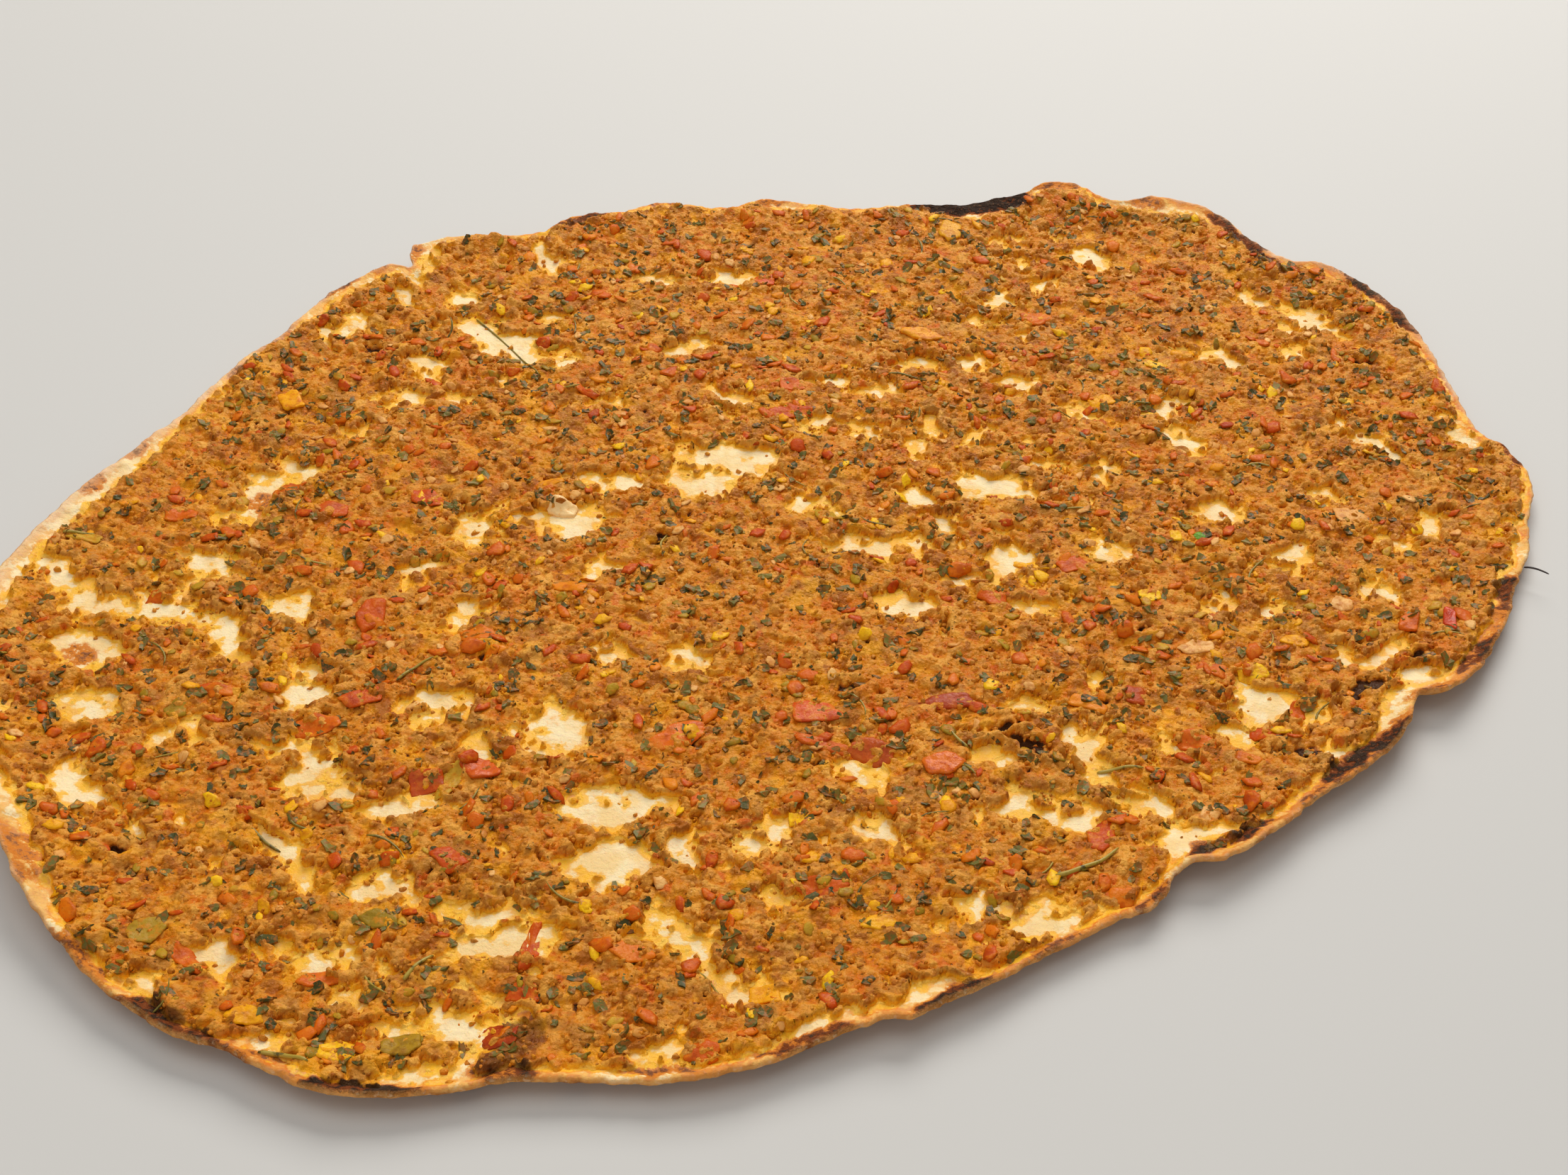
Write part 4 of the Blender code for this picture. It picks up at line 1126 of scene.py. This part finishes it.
def stalk_shape(name, seed):
    """A bent length of parsley stalk, tapering to one end."""
    generator = np.random.default_rng(seed)
    made = bmesh.new()
    bend = generator.uniform(-1.6, 1.6)
    turns = [math.tau * i / SHORT_SIDES for i in range(SHORT_SIDES)]
    rings = []
    for k in range(SHORT_STEPS + 1):
        t = k / SHORT_STEPS
        sideways, upwards = bend * (4 * t * (1 - t) - 0.5), 0.15 * math.sin(7 * t + seed)
        middle = Vector((SHORT_LENGTH * (t - 0.5), sideways, upwards))
        radius = SHORT_RADIUS * (1.1 - 0.5 * t) * (0.35 if k in (0, SHORT_STEPS) else 1)
        ring_points = [middle + Vector((0, math.cos(a), math.sin(a))) * radius for a in turns]
        rings.append([made.verts.new(point * MM) for point in ring_points])
    skin(made, rings)
    made.faces.new(rings[0])
    made.faces.new(rings[-1])
    return template(name, made)


def stalk_finish():
    """Yellow-green stalk, browned in places, and burnt black where its tint is above 1."""
    made = Finish("parsley_stalk", roughness=0.4, specular=0.4)
    tint = made.attribute("tint")
    colour = made.turned(linear(136, 116, 30), (176, 150, 54), tint, 0.1, 0.9)
    colour = made.turned(colour, (86, 74, 24), made.noise(1.5, 3), 0.5, 0.66)
    made.set("Base Color", made.turned(colour, (44, 26, 16), tint, 1.2, 1.6))
    return made.material


stalk_shapes = [stalk_shape(f"stalk_{k}", 100 + k) for k in range(4)]
stalks = scattered("parsley_stalks", stalk_shapes, stalk_finish(), 0.11, 0.5, 1.1, -0.25, 5, 101)
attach(stalks, "root")
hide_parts("mince_spread")

# ---------------------------------------------------------------- chopped pepper, tomato and onion
# Sweet pepper, tomato and onion chopped to a few millimetres: soft, shrunken, wet pieces of skin and flesh
# that lie in the surface of the mince.


def chopped_shape(name, corners, seed, thickness, narrowness=0.7):
    """A soft flat piece about 1 mm long: an uneven outline with a rounded edge and a wavy upper face."""
    generator = np.random.default_rng(seed)
    made = bmesh.new()
    turns = (np.arange(corners) + generator.uniform(-0.28, 0.28, corners)) / corners * math.tau
    reach = 0.5 * generator.uniform(0.7, 1.12, corners)
    wave = generator.uniform(-0.05, 0.05, corners)
    cup = generator.uniform(-0.25, 0.25)
    loops = []
    for share, level in ((0.62, -0.5), (0.97, -0.25), (1.0, 0.2), (0.66, 0.5)):
        loop = []
        for turn, far, lift in zip(turns, reach, wave):
            x, y = share * far * math.cos(turn), narrowness * share * far * math.sin(turn)
            z = lift + cup * x * x + level * thickness
            loop.append(made.verts.new(Vector((x, y, z)) * MM))
        loops.append(loop)
    skin(made, loops)
    made.faces.new(loops[0])
    made.faces.new(loops[-1])
    return template(name, made)


def chopped_finish(name, colours, coat, bump=0.15, browned=1.0):
    """Wet cooked vegetable, between three colours from piece to piece, mottled with a fourth, and browned."""
    made = Finish(name, roughness=0.5, specular=0.16, coat=coat, coat_roughness=0.2, glint=(1.0, 0.8, 0.6))
    tint, mottle, fine = made.attribute("tint"), made.noise(1.4, 3), made.noise(0.5, 3)
    colour = made.turned(linear(*colours[0]), colours[1], tint, 0.15, 0.5)
    colour = made.turned(colour, colours[2], tint, 0.6, 0.9)
    colour = made.turned(colour, colours[3], mottle, 0.46, 0.68, 0.75)
    brown_patch = made.between(made.noise(3.2, 2), 0.5, 0.7, 0.0, browned)
    colour = made.mix(colour, (0.74, 0.58, 0.45), brown_patch, "MULTIPLY")
    colour = made.mix(colour, (0.7, 0.55, 0.4), made.between(fine, 0.55, 0.7, 0.0, 0.7 * browned), "MULTIPLY")
    made.set("Base Color", colour)
    made.set("Roughness", made.between(fine, 0.3, 0.7, 0.3, 0.65))
    wrinkled = made.bump(fine, 0.1, 0.8, made.bump(mottle, bump, 0.9))
    made.set("Normal", wrinkled)
    made.set("Coat Normal", wrinkled)
    return made.material


CHOPPED = (
    # name, four colours, number per square centimetre, smallest, largest, coat, name its finish is kept under
    (
        "red_pepper_bits", ((212, 96, 2), (196, 72, 2), (220, 112, 2), (220, 124, 18)),
        0.9, 2.0, 5.4, 0.03, "red_pepper",
    ),
    (
        "orange_pepper_bits", ((240, 166, 8), (250, 196, 20), (230, 130, 8), (222, 136, 18)),
        0.42, 1.8, 4.6, 0.03, "yellow_pepper",
    ),
    (
        "green_pepper_bits", ((180, 140, 26), (150, 118, 22), (204, 156, 42), (206, 126, 20)),
        0.6, 1.6, 4.0, 0.03, "green_pepper",
    ),
    (
        "onion_bits", ((232, 166, 84), (240, 184, 108), (218, 146, 62), (212, 130, 40)),
        0.35, 1.6, 3.8, 0.05, "onion",
    ),
)  # fmt: skip
BIT_THICKNESS = 0.13  # of a bit 1 mm long
BIT_SINK, BIT_TILT = -0.06, 11
chopped_finishes = {}
for order, (name, colours, per_cm2, smallest, largest, coat, slot) in enumerate(CHOPPED):
    seed = 110 + 10 * order
    shapes = []
    for k in range(6):
        shapes.append(chopped_shape(f"{name}_{k}", 7 + k % 3, seed + k, BIT_THICKNESS, 0.5 + 0.1 * (k % 4)))
    finish = chopped_finish(name, colours, coat)
    bits = scattered(name, shapes, finish, per_cm2, smallest, largest, BIT_SINK, BIT_TILT, seed + 10)
    chopped_finishes[slot] = finish
    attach(bits, "root")
    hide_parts("mince_spread")


# The larger pieces, each laid in the mince where the real one lies, and bent to its surface. Ten of them are
# solids of their own, and give their place, length, width and turn. The others are measured.

laid_surface = Field(FIELD_PITCH, smoothed(bed_top, 14))
CUT_POINTS = 7  # points along one cut edge of a piece


def laid_piece(x, y, length, width, turn, seed, rise, thickness, corners):
    """Points in mm and faces of a knife-cut soft piece that follows the surface it lies in."""
    generator = np.random.default_rng(seed)
    turns = (np.arange(corners) + 0.5 + generator.uniform(-0.22, 0.22, corners)) / corners * math.tau
    reach = generator.uniform(0.95, 1.25, corners)
    corner = np.stack((reach * np.cos(turns), reach * np.sin(turns)), axis=-1)
    step = np.arange(CUT_POINTS)[:, None, None] / CUT_POINTS
    outline = (corner * (1 - step) + np.roll(corner, -1, 0) * step).transpose(1, 0, 2).reshape(-1, 2)
    outline = outline / 2 + (np.roll(outline, 1, 0) + np.roll(outline, -1, 0)) / 4
    around = len(outline)
    outline = outline * (1 + generator.uniform(-0.04, 0.04, (around, 1)))
    lean, lean_way = generator.uniform(0.02, 0.09), generator.uniform(0, math.tau)
    profile = ((0.35, -0.5), (0.75, -0.5), (0.96, -0.35), (1.0, 0.1), (0.96, 0.4), (0.8, 0.5), (0.4, 0.46))
    loops = []
    for share, level in profile:
        along, across = share * outline[:, 0] * length / 2, share * outline[:, 1] * width / 2
        px, py = along_turn(x, y, turn, along, across)
        wave = 0.3 * noise(px, py, 2.4, seed, 3)
        wave = wave + lean * (along * math.cos(lean_way) + across * math.sin(lean_way))
        loops.append(np.stack((px, py, laid_surface.at(px, py) + rise + wave + level * thickness), axis=-1))
    points = np.concatenate(loops + [loops[0].mean(axis=0)[None], loops[-1].mean(axis=0)[None]])
    faces = []
    for k in range(len(loops) - 1):
        for i in range(around):
            j = (i + 1) % around
            faces.append((k * around + i, k * around + j, (k + 1) * around + j, (k + 1) * around + i))
    low, high, last = len(points) - 2, len(points) - 1, (len(loops) - 1) * around
    faces += [((i + 1) % around, i, low) for i in range(around)]
    faces += [(last + i, last + (i + 1) % around, high) for i in range(around)]
    return points, faces


def place_of(node):
    """Middle, length, width and turn in degrees of a node seen from above, in mm."""
    corners = np.array([v.co[:2] for v in node.data.vertices]) / MM
    middle = (corners.max(axis=0) + corners.min(axis=0)) / 2
    main = np.linalg.eigh(np.cov((corners - middle).T))[1][:, 1]
    turned = (corners - middle) @ np.stack((main, (-main[1], main[0])), axis=-1)
    length, width = np.ptp(turned, axis=0)
    return (*middle, length, width, math.degrees(math.atan2(main[1], main[0])))


LARGE = (
    # node, name of the piece, its colour, the colour that mottles it, its kind of vegetable, corners
    ("yellow_pepper_left", "yellow_pepper_piece_1", (243, 166, 10), (222, 112, 8), "yellow_pepper", 4),
    ("yellow_pepper_far", "yellow_pepper_piece_2", (232, 164, 24), (210, 132, 22), "yellow_pepper", 5),
    ("yellow_pepper_centre", "yellow_pepper_piece_3", (240, 160, 22), (216, 112, 20), "yellow_pepper", 5),
    ("red_pepper_left", "red_pepper_piece_1", (204, 82, 2), (214, 106, 16), "red_pepper", 5),
    ("red_pepper_right", "red_pepper_piece_2", (214, 98, 2), (222, 120, 20), "red_pepper", 4),
    ("tomato_near_left", "tomato_piece_1", (214, 92, 6), (194, 62, 8), "tomato", 5),
    ("tomato_skin_right", "tomato_piece_2", (212, 66, 2), (190, 48, 4), "tomato", 4),
    ("tomato_near", "tomato_piece_3", (226, 110, 4), (202, 72, 8), "tomato", 5),
    ("green_pepper_near", "green_pepper_piece_1", (172, 130, 24), (138, 100, 20), "green_pepper", 6),
    ("onion_centre", "onion_piece_1", (252, 212, 146), (240, 178, 96), "onion", 6),
)  # fmt: skip
LARGE_RISE, LARGE_THICKNESS, ONION_THICKNESS = 0.4, 0.8, 1.2
ONION_SHARE = 0.72  # the onion has shrunk, and the mince hides its edge
for order, (node, name, colour, mottle, slot, corners) in enumerate(LARGE):
    middle_x, middle_y, length, width, turn = place_of(nodes[node])
    share, thickness = (ONION_SHARE, ONION_THICKNESS) if slot == "onion" else (1.0, LARGE_THICKNESS)
    size = share * length, share * width
    points, faces = laid_piece(middle_x, middle_y, *size, turn, 130 + order, LARGE_RISE, thickness, corners)
    coat = 0.3 if slot in ("tomato", "onion") else 0.05
    browned = 0.2 if slot == "onion" else 1.0
    finish = chopped_finish(name, (colour, colour, colour, mottle), coat, 0.22, browned)
    piece = new_object(name, points, faces, finish)
    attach(piece, "root")
    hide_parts(node)

LAID = (
    # x, y, length, width, turn, kind
    (-129, -4, 7, 4, 10, "red"), (-98, 0, 6, 5, 0, "red"), (-109, 8, 6, 4, 30, "red"),
    (-128, -30, 5, 3, 0, "red"), (-79, 5, 8, 5, -30, "red"), (-62, -39, 6, 4, 0, "red"),
    (-2, 53, 8, 4, 10, "red"), (-2, 43, 8, 5, 0, "red"), (56, 86, 7, 4, 0, "red"),
    (57, -10, 6, 5, 20, "red"), (40, -21, 6, 5, 0, "red"), (-89, -66, 7, 5, 20, "red"),
    (-82, -58, 8, 5, 30, "red"), (-109, -58, 5, 3, 0, "red"), (-100, -124, 8, 3, -40, "red"),
    (-59, -100, 7, 5, -40, "red"), (-26, -119, 7, 5, 0, "red"), (-13, -141, 5, 4, 0, "red"),
    (-43, -129, 5, 4, 0, "red"), (-77, -127, 6, 4, 20, "red"), (-43, -118, 10, 2.6, 85, "red"),
    (82, -42, 6, 4, -20, "red"), (76, -62, 7, 4, -20, "red"), (90, -59, 5, 4, 0, "red"),
    (85, -67, 5, 3, -30, "red"), (97, -52, 6, 3, 80, "red"), (56, -88, 7, 4, 70, "red"),
    (58, -104, 5, 4, 0, "red"), (6, -103, 8, 4, 0, "red"), (7, -67, 13, 2.4, -15, "red"),
    (-67, -80, 8, 5, 10, "dark"), (30, -54, 9, 4, 10, "dark"), (15, -68, 8, 5, -10, "dark"),
    (66, -50, 5, 5, 0, "dark"), (-46, -138, 6, 5, 0, "dark"), (-21, -66, 10, 5, 30, "tomato"),
    (4, -58, 11, 7, 0, "tomato"), (-10, 99, 6, 4, 0, "tomato"), (90, 73, 5, 3, 0, "orange"),
    (83, 66, 6, 3, -20, "orange"), (-53, 12, 5, 3, 20, "orange"), (69, 51, 5, 4, 10, "orange"),
    (1.5, -86, 4, 3, 0, "orange"), (-46, -23, 7, 3, -20, "orange"), (50, -10, 8, 2.4, -15, "orange"),
    (80, 1, 4, 3, 0, "orange"), (-87, -137, 5, 4, 0, "orange"), (-71, -143, 5, 4, 0, "orange"),
    (-3, -127, 5, 4, 0, "orange"), (100, -32, 5, 3.5, 0, "orange"), (90, -42, 5, 4, 0, "orange"),
    (57, -53, 7, 3.5, -20, "orange"), (16, -111, 6, 3, 20, "orange"), (72, -19, 4, 3, 0, "orange"),
    (-148, -13, 9, 4, -10, "green"), (-116, -63, 4, 4, 0, "green"), (-108, -119, 6, 5, 30, "green"),
    (6, 5, 5, 4, 0, "green"), (-69, -114, 7, 3.5, 0, "green"), (-62, -79, 9, 3, 70, "green"),
    (118, 10, 8, 5, 0, "onion"), (111, -20, 4.4, 4, 0, "onion"), (-40, 40, 5, 3, 15, "onion"),
    (76, -83, 5, 3, 60, "onion"), (80, -35, 6, 4, 0, "onion"), (85, 1, 3.2, 2, 20, "leaf"),
)  # fmt: skip
for kind, name, colours, coat in (
    ("dark", "dark_pepper_skin", ((182, 66, 2), (166, 54, 2), (190, 78, 4), (196, 96, 16)), 0.1),
    ("tomato", "soft_tomato", ((214, 84, 4), (206, 70, 6), (224, 104, 6), (222, 128, 26)), 0.1),
    ("leaf", "fresh_parsley", ((96, 150, 20), (96, 150, 20), (96, 150, 20), (70, 110, 16)), 0.05),
):
    chopped_finishes[kind] = chopped_finish(name, colours, coat)
KINDS = (
    # kind in the table above, name of the piece, finish, slot
    ("red", "laid_red_pieces", "red_pepper", "red_pepper"),
    ("dark", "laid_dark_pieces", "dark", "red_pepper"),
    ("tomato", "laid_tomato_pieces", "tomato", "tomato"),
    ("orange", "laid_orange_pieces", "yellow_pepper", "yellow_pepper"),
    ("green", "laid_green_pieces", "green_pepper", "green_pepper"),
    ("onion", "laid_onion_pieces", "onion", "onion"),
    ("leaf", "laid_parsley_leaf", "leaf", "mince"),
)
LAID_RISE, LAID_THICKNESS = 0.08, 0.5
LAID_SHARE = 1.2  # how much larger each is than the part of it that shows
for kind, name, finish, slot in KINDS:
    points, faces, tints = np.zeros((0, 3)), [], []
    for order, (x, y, length, width, turn, its_kind) in enumerate(LAID):
        if its_kind != kind:
            continue
        place = x - PLAN_MIDDLE[0], y - PLAN_MIDDLE[1]
        size = LAID_SHARE * length, LAID_SHARE * width
        corners = 4 + order % 3
        more, more_faces = laid_piece(*place, *size, turn, 160 + order, LAID_RISE, LAID_THICKNESS, corners)
        faces += [tuple(len(points) + i for i in face) for face in more_faces]
        points = np.concatenate((points, more))
        tints += [order * 0.37 % 1] * len(more)
    piece = new_object(name, points, faces, chopped_finishes[finish], {"tint": tints})
    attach(piece, "root")
    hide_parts("mince_spread")

# Lengths of parsley stalk that lie across the mince or the bare dough, and one burnt end that sticks out past
# the rim. Each is a thin bent tube.
STALK_STEPS, STALK_SIDES = 12, 7
LAID_STALKS = (
    # from x, y to x, y, radius, bend sideways, how high it lies over the surface, tint
    (-78, 78, -60, 53, 0.3, 0.8, 0.35, 0.2), (47, -99, 58.5, -92.5, 0.5, -1.0, 0.5, 0.9),
    (57, -70.7, 65.5, -70.3, 0.4, 0.3, 0.4, 0.8), (-151, -13, -145, -12, 0.4, 0.3, 0.4, 0.7),
    (-76, -53.5, -70, -46.5, 0.35, 0.4, 0.4, 0.6), (-63, -127.5, -59, -121.5, 0.45, 0.3, 0.5, 0.9),
    (-96, -93, -89.5, -98, 0.4, -0.3, 0.4, 0.0), (-83.5, -144, -75, -146.3, 0.5, 0.4, 0.5, 0.8),
    (33, -66, 30, -62, 0.35, 0.3, 0.4, 0.7), (151.5, -6.5, 156, -9, 0.25, 0.4, 0.3, 2.0),
)  # fmt: skip
points, faces, tints = np.zeros((0, 3)), [], []
for x0, y0, x1, y1, radius, bend, rise, tint in LAID_STALKS:
    along = np.array((x1 - x0, y1 - y0)) / math.hypot(x1 - x0, y1 - y0)
    t = np.arange(STALK_STEPS + 1) / STALK_STEPS
    line_x = x0 - PLAN_MIDDLE[0] + (x1 - x0) * t - along[1] * bend * 4 * t * (1 - t)
    line_y = y0 - PLAN_MIDDLE[1] + (y1 - y0) * t + along[0] * bend * 4 * t * (1 - t)
    line_z = laid_surface.at(line_x, line_y) + rise
    turns = np.arange(STALK_SIDES) * math.tau / STALK_SIDES
    thick = radius * (1 - 0.35 * t) * np.where((t == 0) | (t == 1), 0.5, 1.0)
    px = line_x[:, None] - along[1] * np.cos(turns) * thick[:, None]
    py = line_y[:, None] + along[0] * np.cos(turns) * thick[:, None]
    pz = line_z[:, None] + np.sin(turns) * thick[:, None]
    first = len(points)
    points = np.concatenate((points, np.stack((px, py, pz), axis=-1).reshape(-1, 3)))
    for k in range(STALK_STEPS):
        for i in range(STALK_SIDES):
            a, b = first + k * STALK_SIDES + i, first + k * STALK_SIDES + (i + 1) % STALK_SIDES
            faces.append((a, a + STALK_SIDES, b + STALK_SIDES, b))
    faces.append(tuple(range(first, first + STALK_SIDES)))
    faces.append(tuple(range(len(points) - 1, len(points) - 1 - STALK_SIDES, -1)))
    tints += [tint] * (len(points) - first)
laid_stalks = new_object("laid_stalks", points, faces, bpy.data.materials["parsley_stalk"], {"tint": tints})
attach(laid_stalks, "root")
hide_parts("mince_spread")

bpy.data.objects.remove(host)
bpy.data.objects.remove(bare_host)
